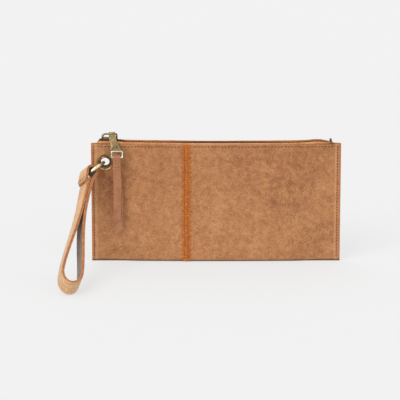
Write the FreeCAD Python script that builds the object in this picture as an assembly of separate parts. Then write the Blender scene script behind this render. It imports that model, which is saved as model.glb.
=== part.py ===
"""Wristlet wallet: a zipped leather pouch with an eyelet, a swinging ring and a wrist strap.

Millimetres. Origin at the centre of the pouch's flat bottom, +X towards the end where the zip opens,
+Y towards the back, +Z up. The pouch stands upright and the strap comes down in front of it.
"""
import FreeCAD, Part
import math
import os

Vector = FreeCAD.Vector
X_AXIS = Vector(1, 0, 0)
Y_AXIS = Vector(0, 1, 0)
Z_AXIS = Vector(0, 0, 1)

# Pouch
PANEL_HEIGHT = 117.0
SEAM_X = -28.5            # where the two leather panels meet
LEATHER = 1.2
STIFFENER = 0.9
LINING = 0.4
POCKET_LAYER = 0.35
LAYER_GAP = 0.1           # air between two layers that don't share a face
WIDE_X = 88.0             # half length of the part of the pouch that bulges
EYELET_ZONE_TOP = 107.5   # below this height the ends of the pouch are pinched flat
HALF_X = [0.0, 28.5, 50.0, 78.0, 88.0, 97.0, 104.0, 112.0, 120.0]
HALF_DEPTH = [6.8, 6.65, 6.3, 5.6, 4.0, 1.7, 1.7, 1.7, 1.7]
HALF_DEPTH_TOP = [6.8, 6.65, 6.3, 6.1, 6.0, 5.7, 5.0, 3.6, 1.7]
STRIP_WIDTH = 10.6
STRIP_THICKNESS = 0.6

# Zip and its facings
FACING = 0.85
FACING_LOW = 104.6
FACING_END_LOW = 113.0
FACING_SHELF = 118.2      # from here up the facing is a straight rail beside the zip
FACING_TOP = 121.6
FACING_END_TOP = 118.7    # where the zip opens
FACING_CLOSED_END_TOP = 120.8
FACING_SLACK = 1.4        # the facing hangs this much clear of the leather where the pouch narrows
FACING_HALF_LENGTH = 112.0
RAIL_INNER = 4.3
TAPE = 0.3
CHAIN_Z = 120.15
TOOTH_PITCH = 2.6
TOOTH_LENGTH = 1.1
TOOTH_HEIGHT = 1.8
CHAIN_HALF_WIDTH = 2.9
TOOTH_OVERLAP = 0.8
CHAIN_START = -101.0
CHAIN_END = 106.8
SLIDER_X = (-109.8, -94.6)
SLIDER_HALF_WIDTH = 3.9
SLIDER_PLATE = 1.2
SLIDER_LOW_PLATE = 0.75
SLIDER_CHANNEL = 2.1
BAIL_WIRE = 0.9
BAIL_HEIGHT = 126.2
BAIL_X = (-109.0, -95.2)
BAIL_CORNERS = (3.2, 1.4)

# Puller and its leather tab
PULLER_X = -99.6
PULLER_THICKNESS = 1.6
EYE_RADIUS = 1.75
EYE_BORE = 0.98
EYE_HALF_LENGTH = 2.9
NECK_LENGTH = 8.4
NECK_LEAN = 57.5          # degrees from straight down
BLADE_LENGTH = 17.7
BLADE_LEAN = 18.0
BLADE_SHIFT = 4.8         # the lower end stands this much nearer the zip's open end
SLOT = (11.6, 15.9, 4.4)  # start, end and half width of the slot
TAB_WIDTH = 7.2
TAB_THICKNESS = 1.15
TAB_EYE = 1.35
TAB_JOIN_DROP = 7.0
TAB_FRONT_END = 41.5
TAB_BACK_END = 32.0
TAB_SLANT = 3.2

# Eyelet and ring
EYELET = Vector(-106.5, 0, 99.0)
EYELET_RADIUS = 8.3
EYELET_BARREL = 4.8
EYELET_HOLE = 4.1
EYELET_RIM = 0.9
RING_RADIUS = 11.4
RING_WIRE = 1.5
RING_REACH = Vector(-0.8, -0.155, -0.58)   # from the eyelet to the ring's centre
RING_ACROSS = Vector(0, 0.966, -0.259)     # the ring's other direction
RING_OFFSET = 1.4                          # the ring hangs this far off the eyelet's centre

# Wrist strap
STRAP_WIDTH = 15.0
STRAP_LAYER = 1.4
STRAP_CONTACT = -48.0     # degrees round the ring where the strap hangs
STRAP_SKIVED = 1.1        # each layer, where the band folds round the ring
STRAP_EYE_WIDTH = 14.2
STRAP_EYE = 4.15
STRAP_EYE_INSET = 2.05
STRAP_LENGTH = 137.6
STRAP_STRAIGHT = 14.0     # this much below the ring is sewn flat and doesn't twist
STRAP_HALF_LOOP = 9.4
STRAP_NOSE = 17.2
FLAP_END = 14.0
LEG_SPREAD = (35.8, 88.4)  # where the two legs start to part, and over what length
LEG_GAP = 0.15


def interpolate(x, xs, values):
    """The value at x of the line through the points (xs, values)."""
    for i in range(len(xs) - 1):
        if x <= xs[i + 1]:
            share = (x - xs[i]) / (xs[i + 1] - xs[i])
            return values[i] + share * (values[i + 1] - values[i])
    return values[-1]


def half_depth(x, z):
    """Half of the pouch's outer thickness at a place on its panels."""
    low = interpolate(abs(x), HALF_X, HALF_DEPTH)
    top = interpolate(abs(x), HALF_X, HALF_DEPTH_TOP)
    return interpolate(z, [0, EYELET_ZONE_TOP, PANEL_HEIGHT], [low, low, top])


def stations(x0, x1):
    """The places along the pouch where its outline bends, from x0 to x1."""
    both = [-x for x in HALF_X[:0:-1]] + HALF_X
    return [x0] + [x for x in both if x0 < x < x1] + [x1]


def flat_faces(a, b, c, d):
    """One face through four corners, or two triangles where the corners aren't in one plane."""
    normal = (b - a).cross(c - a)
    if normal.Length > 1e-9 and abs((d - a).dot(normal.normalize())) < 1e-6:
        return [Part.Face(Part.makePolygon([a, b, c, d, a]))]
    return [Part.Face(Part.makePolygon([a, b, c, a])), Part.Face(Part.makePolygon([a, c, d, a]))]


def slab(outer, inner):
    """A closed solid between two grids of points that match row by row."""
    rows = len(outer)
    columns = len(outer[0])
    faces = []
    for grid in (outer, inner):
        for i in range(rows - 1):
            for k in range(columns - 1):
                faces += flat_faces(grid[i][k], grid[i + 1][k], grid[i + 1][k + 1], grid[i][k + 1])
    for i in range(rows - 1):
        for k in (0, columns - 1):
            faces += flat_faces(outer[i][k], outer[i + 1][k], inner[i + 1][k], inner[i][k])
    for k in range(columns - 1):
        for i in (0, rows - 1):
            faces += flat_faces(outer[i][k], outer[i][k + 1], inner[i][k + 1], inner[i][k])
    shell = Part.Shell(faces)
    shell.sewShape()
    solid = Part.Solid(shell)
    if solid.Volume < 0:
        solid.reverse()
    return solid


def wall_sheet(side, xs, heights, depth, thickness):
    """A layer of the pouch's wall. side is -1 at the front and 1 at the back.

    heights are functions of x, and depth(x, z) is how far the layer's outer face lies from the middle.
    """
    outer = [[Vector(x, side * depth(x, h(x)), h(x)) for h in heights] for x in xs]
    inner = [[p - Vector(0, side * thickness, 0) for p in row] for row in outer]
    return slab(outer, inner)


def level(z):
    """A height that is the same all along the pouch."""
    return lambda x: z


def box(x, y, z):
    """A box from its three ranges."""
    return Part.makeBox(x[1] - x[0], y[1] - y[0], z[1] - z[0], Vector(x[0], y[0], z[0]))


def eyelet_bore(radius):
    """A round rod along the eyelet's axis, longer than the pouch is thick there."""
    return Part.makeCylinder(radius, 20, EYELET - Y_AXIS * 10, Y_AXIS)


def inlay_depth(x, z):
    """How far the inside of the leather and its stiffener lies from the pouch's middle."""
    stiff = interpolate(abs(x), [0, WIDE_X, HALF_X[5], HALF_X[-1]], [STIFFENER + LAYER_GAP] * 2 + [0, 0])
    return half_depth(x, z) - LEATHER - stiff


def fold(xs, depth, thickness):
    """The flat bottom of a folded piece, across the pouch from its front to its back."""
    front = [Vector(x, -depth(x, 0), 0) for x in xs]
    back = [Vector(x, depth(x, 0), 0) for x in reversed(xs)]
    return Part.Face(Part.makePolygon(front + back + front[:1])).extrude(Z_AXIS * thickness)


def leather_panel(x0, x1):
    """One leather panel: front wall, fold under the pouch and back wall."""
    xs = stations(x0, x1)
    heights = [level(0), level(EYELET_ZONE_TOP), level(PANEL_HEIGHT)]
    walls = [wall_sheet(side, xs, heights, half_depth, LEATHER) for side in (-1, 1)]
    panel = fold(xs, half_depth, LEATHER).fuse(walls).removeSplitter()
    inlet = box((SEAM_X - STRIP_WIDTH / 2, SEAM_X + STRIP_WIDTH / 2), (-9, 9), (0, STRIP_THICKNESS))
    return panel.cut(inlet).cut(eyelet_bore(EYELET_BARREL + 0.05))


def seam_strip():
    """The strip that covers the panels' joint, up the front, under the fold and up the back."""
    x0 = SEAM_X - STRIP_WIDTH / 2
    x1 = SEAM_X + STRIP_WIDTH / 2
    xs = stations(x0, x1)

    def outside(x, z):
        return half_depth(x, z) + STRIP_THICKNESS

    sides = [wall_sheet(side, xs, [level(0), level(PANEL_HEIGHT)], outside, STRIP_THICKNESS)
             for side in (-1, 1)]
    return fold(xs, outside, STRIP_THICKNESS).fuse(sides).removeSplitter()


def facing(side):
    """The smooth leather band inside the panel's top edge, which rises beside the zip."""
    xs = stations(-FACING_HALF_LENGTH, FACING_HALF_LENGTH)

    def low(x):
        ends = [FACING_LOW, FACING_LOW, FACING_END_LOW, FACING_END_LOW]
        return interpolate(abs(x), [0, WIDE_X, HALF_X[5], FACING_HALF_LENGTH], ends)

    def bend(x):
        return max(low(x) + 1.0, EYELET_ZONE_TOP)

    def top(x):
        end = FACING_END_TOP if x > 0 else FACING_CLOSED_END_TOP
        return interpolate(abs(x), [0, HALF_X[6], FACING_HALF_LENGTH], [FACING_TOP, FACING_TOP, end])

    def depth(x, z):
        if z > PANEL_HEIGHT:
            return RAIL_INNER + FACING
        hang = (PANEL_HEIGHT - z) / (PANEL_HEIGHT - EYELET_ZONE_TOP)
        slack = FACING_SLACK * hang if abs(x) >= WIDE_X else 0
        return half_depth(x, z) - LEATHER - LAYER_GAP - slack

    heights = [low, bend, level(PANEL_HEIGHT), level(FACING_SHELF), top]
    return wall_sheet(side, xs, heights, depth, FACING)


def stiffener(side):
    """A board that keeps the bulging part of the wall smooth."""
    xs = stations(-WIDE_X, WIDE_X)
    return wall_sheet(side, xs, [level(2.0), level(FACING_LOW - 0.6)],
                      lambda x, z: half_depth(x, z) - LEATHER, STIFFENER)


def lining(side):
    """Cotton lining: hangs from the facing and covers the stiffener and the pinched ends."""
    xs = stations(-HALF_X[-1], HALF_X[-1])
    sheet = wall_sheet(side, xs, [level(1.6), level(FACING_LOW - 0.6)], inlay_depth, LINING)
    return sheet.cut(eyelet_bore(EYELET_BARREL + 0.05))


def inner_pocket(side, layer, z0, z1):
    """A flat pocket panel on the lining; layer counts outwards from the lining, from 0."""
    offset = LINING + LAYER_GAP + layer * (POCKET_LAYER + 0.05)
    xs = stations(-WIDE_X, WIDE_X)
    return wall_sheet(side, xs, [level(z0), level(z1)],
                      lambda x, z: inlay_depth(x, z) - offset, POCKET_LAYER)


def zip_tape(side):
    """The woven tape between the chain and the facing."""
    rail = RAIL_INNER
    flat = box((-FACING_HALF_LENGTH, FACING_HALF_LENGTH), (CHAIN_HALF_WIDTH, rail),
               (CHAIN_Z - TAPE / 2, CHAIN_Z + TAPE / 2))
    edge = box((-HALF_X[6], HALF_X[6]), (rail - TAPE, rail), (FACING_SHELF + 0.1, CHAIN_Z + TAPE / 2))
    tape = flat.fuse(edge).removeSplitter()
    return tape if side > 0 else tape.mirror(Vector(0, 0, 0), Y_AXIS)


def zip_teeth(side):
    """One side's row of metal teeth, which interlock with the other side's."""
    z = (CHAIN_Z - TOOTH_HEIGHT / 2, CHAIN_Z + TOOTH_HEIGHT / 2)
    y = sorted((side * CHAIN_HALF_WIDTH, -side * TOOTH_OVERLAP))
    start = CHAIN_START + (TOOTH_PITCH / 2 if side > 0 else 0)
    count = int((CHAIN_END - start) / TOOTH_PITCH) + 1
    teeth = []
    for i in range(count):
        x = start + i * TOOTH_PITCH
        teeth.append(box((x - TOOTH_LENGTH / 2, x + TOOTH_LENGTH / 2), y, z))
    return Part.makeCompound(teeth)


def top_stops():
    """The two clips that stop the slider where the zip is closed."""
    z = (CHAIN_Z - 1.0, CHAIN_Z + 1.0)
    clips = [box((SLIDER_X[0] - 2.2, SLIDER_X[0] - 0.3), y, z) for y in ((-2.9, -1.2), (1.2, 2.9))]
    return Part.makeCompound(clips)


def bottom_stop():
    """The clip that joins both tapes where the zip is open."""
    return box((108.8, 111.0), (-2.9, 2.9), (CHAIN_Z - 1.1, CHAIN_Z + 1.1))


def slider_body():
    """Two plates joined by a post, with lips that hold the teeth and let the tape out sideways."""
    low = CHAIN_Z - SLIDER_CHANNEL / 2
    high = CHAIN_Z + SLIDER_CHANNEL / 2
    w = SLIDER_HALF_WIDTH
    lip = 0.65
    plates = [box(SLIDER_X, (-w, w), (low - SLIDER_LOW_PLATE, low)),
              box(SLIDER_X, (-w, w), (high, high + SLIDER_PLATE))]
    lips = []
    for y in ((-w, lip - w), (w - lip, w)):
        lips.append(box(SLIDER_X, y, (low, CHAIN_Z - 0.45)))
        lips.append(box(SLIDER_X, y, (CHAIN_Z + 0.45, high)))
    x0 = SLIDER_X[0]
    post = Part.Face(Part.makePolygon([Vector(x0 + 0.4, -1.3, low), Vector(x0 + 0.4, 1.3, low),
                                       Vector(x0 + 5.6, 0, low), Vector(x0 + 0.4, -1.3, low)]))
    body = plates[0].fuse([plates[1]] + lips + [post.extrude(Z_AXIS * SLIDER_CHANNEL)]).removeSplitter()
    corners = [e for e in body.Edges if abs(e.tangentAt(e.FirstParameter).z) > 0.99 and e.Length > 1.1]
    outer = [e for e in corners if abs(abs(e.CenterOfMass.y) - w) < 0.01]
    return body.makeChamfer(0.9, outer)


def slider_bail():
    """The wire arch on the slider that the puller hangs from."""
    x0, x1 = BAIL_X
    foot = CHAIN_Z + SLIDER_CHANNEL / 2 + SLIDER_PLATE
    r0, r1 = BAIL_CORNERS
    k0, k1 = [r * (1 - math.sqrt(0.5)) for r in BAIL_CORNERS]
    top = BAIL_HEIGHT
    path = Part.Wire([
        Part.LineSegment(Vector(x0, 0, foot), Vector(x0, 0, top - r0)).toShape(),
        Part.Arc(Vector(x0, 0, top - r0), Vector(x0 + k0, 0, top - k0), Vector(x0 + r0, 0, top)).toShape(),
        Part.LineSegment(Vector(x0 + r0, 0, top), Vector(x1 - r1, 0, top)).toShape(),
        Part.Arc(Vector(x1 - r1, 0, top), Vector(x1 - k1, 0, top - k1), Vector(x1, 0, top - r1)).toShape(),
        Part.LineSegment(Vector(x1, 0, top - r1), Vector(x1, 0, foot)).toShape(),
    ])
    section = Part.Wire([Part.Circle(Vector(x0, 0, foot), Z_AXIS, BAIL_WIRE).toShape()])
    return path.makePipeShell([section], True, True)


def lean(degrees):
    """The direction that leans forward of straight down by this angle."""
    return Vector(0, -math.sin(math.radians(degrees)), -math.cos(math.radians(degrees)))


def flat_plate(origin, down, outline, thickness):
    """A plate whose outline is given as (sideways, down) pairs from origin, centred on its own plane."""
    normal = X_AXIS.cross(down)
    corners = [origin + X_AXIS * a + down * b - normal * (thickness / 2) for a, b in outline]
    return Part.Face(Part.makePolygon(corners + corners[:1])).extrude(normal * thickness)


def puller_pivot():
    return Vector(PULLER_X, 0, BAIL_HEIGHT)


def puller_bend():
    return puller_pivot() + lean(NECK_LEAN) * NECK_LENGTH


def tab_pivot():
    """The middle of the puller's lowest bar, which the leather tab is looped round."""
    bar = (SLOT[1] + BLADE_LENGTH) / 2
    return puller_bend() + lean(BLADE_LEAN) * bar + X_AXIS * BLADE_SHIFT


def puller_plate():
    """Cast puller: an eye on the bail, a neck over the facing and a flared blade with a slot."""
    pivot = puller_pivot()
    eye = Part.makeCylinder(EYE_RADIUS, 2 * EYE_HALF_LENGTH, pivot - X_AXIS * EYE_HALF_LENGTH, X_AXIS)
    neck = flat_plate(pivot, lean(NECK_LEAN),
                      [(-3.2, 0), (2.9, 0), (2.9, 2.4), (4.3, NECK_LENGTH), (-2.6, NECK_LENGTH)],
                      PULLER_THICKNESS)
    shift = BLADE_SHIFT
    blade = flat_plate(puller_bend(), lean(BLADE_LEAN), [
        (-2.6, -0.5), (4.3, -0.5), (shift + 3.9, 9.6), (shift + 6.2, 10.8), (shift + 6.2, BLADE_LENGTH),
        (shift - 6.2, BLADE_LENGTH), (shift - 6.2, 10.8), (shift - 5.9, 9.6)], PULLER_THICKNESS)
    start, end, half = SLOT
    slot = flat_plate(puller_bend(), lean(BLADE_LEAN), [
        (shift - half, start), (shift + half, start), (shift + half, end), (shift - half, end)], 6.0)
    bore = Part.makeCylinder(EYE_BORE, 8, pivot - X_AXIS * 4, X_AXIS)
    return eye.fuse([neck, blade]).cut(slot).cut(bore).removeSplitter()


def pull_tab():
    """Leather tab: a strip looped round the puller's bar, its two layers sewn together below."""
    pivot = tab_pivot()
    half = TAB_WIDTH / 2
    start = pivot - X_AXIS * half
    outer = TAB_EYE + TAB_THICKNESS
    loop = Part.makeCylinder(outer, TAB_WIDTH, start, X_AXIS)
    loop = loop.cut(Part.makeCylinder(TAB_EYE, TAB_WIDTH, start, X_AXIS))
    below = box((start.x, start.x + TAB_WIDTH), (pivot.y - outer, pivot.y + outer), (pivot.z - outer, pivot.z))
    loop = loop.cut(below)
    layers = [loop]
    for side, end in ((-1, TAB_FRONT_END), (1, TAB_BACK_END)):
        wide = (side * TAB_EYE, side * outer)
        near = (side * 0.03, side * (0.03 + TAB_THICKNESS))
        join = pivot.z - TAB_JOIN_DROP
        corners = [(wide[0], pivot.z), (wide[1], pivot.z), (near[1], join), (near[1], end),
                   (near[0], end), (near[0], join)]
        points = [Vector(start.x, pivot.y + y, z) for y, z in corners]
        leg = Part.Face(Part.makePolygon(points + points[:1])).extrude(X_AXIS * TAB_WIDTH)
        tip = [Vector(start.x, pivot.y - 5, end), Vector(start.x + TAB_WIDTH, pivot.y - 5, end),
               Vector(start.x + TAB_WIDTH, pivot.y - 5, end + TAB_SLANT)]
        wedge = Part.Face(Part.makePolygon(tip + tip[:1])).extrude(Y_AXIS * 10)
        layers.append(leg.cut(wedge))
    return layers[0].fuse(layers[1:]).removeSplitter()


def eyelet_face():
    """Front half of the eyelet: a domed rim and the barrel that lines the hole."""
    front = -HALF_DEPTH[-1]
    profile = [(EYELET_HOLE, front - EYELET_RIM), (EYELET_RADIUS - 1.4, front - EYELET_RIM),
               (EYELET_RADIUS, front), (EYELET_BARREL, front), (EYELET_BARREL, -front + EYELET_RIM),
               (EYELET_HOLE, -front + EYELET_RIM)]
    return turned(profile)


def eyelet_washer():
    """Back half of the eyelet, which the barrel is rolled over."""
    back = HALF_DEPTH[-1]
    profile = [(EYELET_BARREL, back), (EYELET_RADIUS, back), (EYELET_RADIUS - 1.4, back + EYELET_RIM),
               (EYELET_BARREL, back + EYELET_RIM)]
    return turned(profile)


def turned(profile):
    """A ring turned round the eyelet's axis from (radius, y) corners."""
    points = [EYELET + X_AXIS * r + Y_AXIS * y for r, y in profile]
    return Part.Face(Part.makePolygon(points + points[:1])).revolve(EYELET, Y_AXIS, 360)


def ring_frame():
    """The ring's two directions, the point where it crosses the eyelet, and its centre."""
    reach = Vector(RING_REACH).normalize()
    across = Vector(RING_ACROSS).normalize()
    crossing = EYELET + reach * RING_OFFSET
    return reach, across, crossing, crossing + reach * RING_RADIUS


def ring():
    """Round wire ring, closed."""
    reach, across, crossing, centre = ring_frame()
    return Part.makeTorus(RING_RADIUS, RING_WIRE, centre, reach.cross(across))


def strap_hang():
    """The strap's pivot on the ring, and the direction along the ring's wire there."""
    reach, across, crossing, centre = ring_frame()
    angle = math.radians(STRAP_CONTACT)
    outwards = reach * math.cos(angle) + across * math.sin(angle)
    along = across * math.cos(angle) - reach * math.sin(angle)
    return centre + outwards * (RING_RADIUS - STRAP_EYE_INSET), along


def strap_turn(share):
    """Slope, heading and roll, in degrees, of the strap at a share of its length."""
    slope = 41.9 + 8.1 * share - 30.3 * share ** 2
    heading = 12.2 - 0.2 * share - 8.9 * share ** 2 * (3 - 2 * share)
    roll = 40.8 - 24.1 * share
    return slope, heading, roll


def strap_axes(s):
    """The strap's own directions at a distance s from the ring: down it, across the loop, across its band."""
    start = STRAP_STRAIGHT
    share = min(1, max(0, (s - start) / (STRAP_LENGTH - start)))
    slope, heading, roll = (math.radians(a) for a in strap_turn(share))
    ahead = Vector(-math.sin(heading), -math.cos(heading), 0)
    down = ahead * math.cos(slope) - Z_AXIS * math.sin(slope)
    under = (ahead * math.sin(slope) + Z_AXIS * math.cos(slope)) * -1
    sideways = ahead.cross(Z_AXIS)
    band = under * math.cos(roll) + sideways * math.sin(roll)
    return down, down.cross(band), band


def strap_middle(s):
    """The point between the strap's two legs at a distance s from the ring."""
    point, along = strap_hang()
    if s <= 0:
        return point + strap_axes(0)[0] * s
    steps = max(1, int(s / 1.5))
    for i in range(steps):
        point = point + strap_axes((i + 0.5) * s / steps)[0] * (s / steps)
    return point


def strap_outline():
    """The band's middle line as (distance from the ring, sideways) pairs, flap first, round the loop."""
    tight = STRAP_EYE + STRAP_SKIVED
    leg = STRAP_LAYER + LEG_GAP
    flap = leg + 2 * STRAP_LAYER + LEG_GAP
    outline = [(FLAP_END, -flap), (10.0, -flap), (5.0, -flap - 0.5)]
    for degrees in range(-10, 181, 19):
        a = math.radians(degrees)
        outline.append((-tight * math.sin(a), -tight * math.cos(a)))
    outline += [(3.0, 4.6), (6.5, 3.1), (10.0, 2.0)]
    spread = STRAP_HALF_LOOP - leg
    right = []
    for s in (15, 24, 34, 46, 58, 70, 82, 94, 106, 116):
        t = min(1, max(0, (s - LEG_SPREAD[0]) / LEG_SPREAD[1]))
        right.append((s, leg + spread * t * t * (3 - 2 * t)))
    nose = []
    for degrees in range(15, 180, 15):
        a = math.radians(degrees)
        nose.append((STRAP_LENGTH - STRAP_NOSE + STRAP_NOSE * math.sin(a), STRAP_HALF_LOOP * math.cos(a)))
    left = [(s, -c) for s, c in reversed(right)] + [(8.0, -leg)]
    return outline + right + nose + left


def strap_layer(outside):
    """One of the strap's two layers: the outer leather, or the lining against the hand."""
    outline = strap_outline()
    rows = []
    for i, (s, c) in enumerate(outline):
        before = outline[max(0, i - 1)]
        after = outline[min(len(outline) - 1, i + 1)]
        run = math.hypot(after[0] - before[0], after[1] - before[1])
        out = ((after[1] - before[1]) / run, -(after[0] - before[0]) / run)
        layer, width = (STRAP_SKIVED, STRAP_EYE_WIDTH) if s < STRAP_EYE else (STRAP_LAYER, STRAP_WIDTH)
        row = []
        for offset in ((0, layer) if outside else (-layer, 0)):
            s1 = s - out[0] * offset
            c1 = c - out[1] * offset
            down, across, band = strap_axes(s1)
            middle = strap_middle(s1) + across * c1
            row.append([middle - band * (width / 2), middle + band * (width / 2)])
        rows.append(row)
    return slab([r[0] for r in rows], [r[1] for r in rows])


def main():
    os.makedirs("parts", exist_ok=True)
    left_end = -HALF_X[-1]
    right_end = HALF_X[-1]
    nodes = {
        "leather_left": leather_panel(left_end, SEAM_X),
        "leather_right": leather_panel(SEAM_X, right_end),
        "seam_strip": seam_strip(),
        "zip_top_stops": top_stops(),
        "zip_bottom_stop": bottom_stop(),
        "slider_body": slider_body(),
        "slider_bail": slider_bail(),
        "puller_plate": puller_plate(),
        "pull_tab": pull_tab(),
        "eyelet_face": eyelet_face(),
        "eyelet_washer": eyelet_washer(),
        "ring": ring(),
        "strap_leather": strap_layer(True),
        "strap_lining": strap_layer(False),
        "slip_pocket": inner_pocket(-1, 0, 6.0, 72.0),
    }
    for side, word in ((-1, "front"), (1, "back")):
        nodes["facing_" + word] = facing(side)
        nodes["stiffener_" + word] = stiffener(side)
        nodes["lining_" + word] = lining(side)
        nodes["zip_tape_" + word] = zip_tape(side)
        nodes["zip_teeth_" + word] = zip_teeth(side)
    for tier in range(3):
        nodes["card_tier_%d" % (tier + 1)] = inner_pocket(1, tier, 24.0, 94.0 - 9.0 * tier)
    for name in sorted(nodes):
        shape = nodes[name]
        shape.exportStep("parts/%s.step" % name)
        size = shape.BoundBox
        print("%-16s solids %3d valid %s volume %9.1f  x %.1f..%.1f  y %.1f..%.1f  z %.2f..%.1f" % (
            name, len(shape.Solids), shape.isValid(), shape.Volume,
            size.XMin, size.XMax, size.YMin, size.YMax, size.ZMin, size.ZMax))
    point, along = strap_hang()
    print("ring pivot", ring_frame()[2], "strap pivot", point, "axis", strap_axes(0)[2])
    print("puller pivot", puller_pivot(), "tab pivot", tab_pivot())


main()
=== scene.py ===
"""Wristlet wallet: the leather, lining, zip, metal fittings and wrist strap, and the studio they stand in.

Shapes are worked out in millimetres in the part's own frame and turned into metres when a mesh is made.
"""
import bpy
import functools
import math
import numpy as np
from bpy.props import FloatProperty, FloatVectorProperty, PointerProperty
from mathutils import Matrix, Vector


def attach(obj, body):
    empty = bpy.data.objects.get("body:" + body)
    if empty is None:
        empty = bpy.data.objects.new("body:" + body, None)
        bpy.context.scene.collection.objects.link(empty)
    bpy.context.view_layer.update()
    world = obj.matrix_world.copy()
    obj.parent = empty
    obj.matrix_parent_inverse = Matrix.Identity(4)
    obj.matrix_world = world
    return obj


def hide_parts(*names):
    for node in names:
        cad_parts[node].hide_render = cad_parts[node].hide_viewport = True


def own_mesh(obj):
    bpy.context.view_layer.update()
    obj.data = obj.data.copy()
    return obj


bl_info = {
    "name": "Wristlet wallet",
    "version": (1, 0, 0),
    "blender": (4, 5, 0),
    "location": "3D View > Sidebar > Wallet",
    "description": "Builds a zipped leather wallet with a wrist strap, piece by piece",
    "category": "Add Mesh",
}

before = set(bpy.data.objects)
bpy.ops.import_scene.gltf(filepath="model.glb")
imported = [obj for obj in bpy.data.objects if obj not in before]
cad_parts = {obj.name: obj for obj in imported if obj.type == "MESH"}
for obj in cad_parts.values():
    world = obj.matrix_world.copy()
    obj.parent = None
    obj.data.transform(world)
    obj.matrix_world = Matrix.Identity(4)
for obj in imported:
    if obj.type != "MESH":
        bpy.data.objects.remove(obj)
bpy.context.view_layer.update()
MM = 0.001

# Pouch, in millimetres
PANEL_HEIGHT = 117.0
SEAM_X = -28.5
END_X = 120.0
WIDE_X = 88.0
EYELET_ZONE_TOP = 107.5
HALF_X = (0.0, 28.5, 50.0, 78.0, 88.0, 97.0, 104.0, 112.0, 120.0)
HALF_DEPTH = (6.8, 6.65, 6.3, 5.6, 4.0, 1.7, 1.7, 1.7, 1.7)
HALF_DEPTH_TOP = (6.8, 6.65, 6.3, 6.1, 6.0, 5.7, 5.0, 3.6, 1.7)
STIFFENER = 0.9
LINING = 0.4
POCKET_LAYER = 0.35
LAYER_GAP = 0.1
LINING_TOP = 104.0
PANEL_HOLE, LINING_HOLE = 5.3, 5.6       # radii of the cut-outs behind the eyelet
FACING_HALF_LENGTH = 112.0
FACING_LEFT, FACING_RIGHT = -114.4, 112.6
FACING_SHELF = 118.2
RAIL_INNER = 4.3
CHAIN_Z = 120.15
CHAIN_HALF_WIDTH = 2.9
TOOTH_PITCH = 2.6
CHAIN_START, CHAIN_END = -101.0, 106.8

# Eyelet and ring
EYELET = np.array((-106.5, 0.0, 99.0))
RING_RADIUS = 11.4
RING_OFFSET = 1.4
RING_REACH = (-0.8, -0.155, -0.58)      # from the eyelet to the ring's centre
RING_ACROSS = (0.0, 0.966, -0.259)

# Puller and tab
BAIL_TOP = 126.2
PULLER_X = -99.6
NECK_LENGTH, NECK_LEAN = 8.4, 57.5
BLADE_LENGTH, BLADE_LEAN, BLADE_SHIFT = 17.7, 18.0, 4.8
SLOT_START, SLOT_END, SLOT_HALF = 11.6, 15.9, 4.4
TAB_EYE = 1.35
TAB_JOIN_DROP = 7.0
TAB_FRONT_END, TAB_BACK_END, TAB_SLANT = 41.5, 32.0, 3.2

# Strap
STRAP_CONTACT = -48.0
STRAP_SKIVED = 1.1
STRAP_EYE_WIDTH = 14.2
STRAP_EYE = 4.15
STRAP_EYE_INSET = 2.05
STRAP_LENGTH = 137.6
STRAP_STRAIGHT = 14.0
STRAP_HALF_LOOP = 9.4
STRAP_NOSE = 17.2
FLAP_END = 14.0
LEG_SPREAD = (35.8, 88.4)
LEG_GAP = 0.15
# In degrees at the ring, and how each changes along the strap: down, aside, and the band's own turn
STRAP_SLOPE, STRAP_HEADING, STRAP_ROLL = (41.9, 8.1, -30.3), (12.2, -0.2, -8.9), (40.8, -24.1)
FOLD_RADIUS = 4.5
FLOOR_GLOW = 0.64


def linear(red, green, blue):
    """A colour given as 0 to 255 screen values, as the linear colour that a shader takes."""
    def one(value):
        value /= 255
        return value / 12.92 if value <= 0.04045 else ((value + 0.055) / 1.055) ** 2.4
    return one(red), one(green), one(blue)


def size_property(name, description, millimetres, low, high):
    return FloatProperty(name=name, description=description, default=millimetres * MM,
                         min=low * MM, max=high * MM, unit="LENGTH", precision=5)


def colour_property(name, description, red, green, blue):
    return FloatVectorProperty(name=name, description=description, default=linear(red, green, blue),
                               min=0.0, max=1.0, size=3, subtype="COLOR")


class WalletSizes(bpy.types.PropertyGroup):
    leather: size_property("Leather", "Thickness of the panel leather", 1.2, 0.8, 1.6)
    facing: size_property("Facing", "Thickness of the smooth leather beside the zip", 0.85, 0.6, 1.0)
    strip_width: size_property("Strip width", "Width of the seam strip from tooth to tooth", 10.6, 8, 14)
    strip_core: size_property("Strip core", "Width of the seam strip between its notches", 5.5, 4, 8)
    strip_pitch: size_property("Strip pitch", "Distance from one pinked tooth to the next", 4.85, 3, 7)
    strip_thickness: size_property("Strip thickness", "Thickness of the seam strip", 0.6, 0.4, 1.0)
    top_stitch: size_property("Top stitch", "Length of one stitch below the mouth", 3.2, 2, 5)
    side_stitch: size_property("Side stitch", "Length of one stitch on the side seams", 2.85, 2, 5)
    tab_width: size_property("Tab width", "Width of the leather tab on the puller", 7.2, 5, 9)
    tab_thickness: size_property("Tab thickness", "Thickness of one layer of the tab", 1.15, 0.8, 1.3)
    ring_wire: size_property("Ring wire", "Radius of the ring's round wire", 1.6, 1.0, 1.8)
    strap_width: size_property("Strap width", "Width of the wrist strap", 15.0, 12, 18)
    strap_layer: size_property("Strap layer", "Thickness of each of the strap's two layers", 1.4, 1.0, 1.6)


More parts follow.
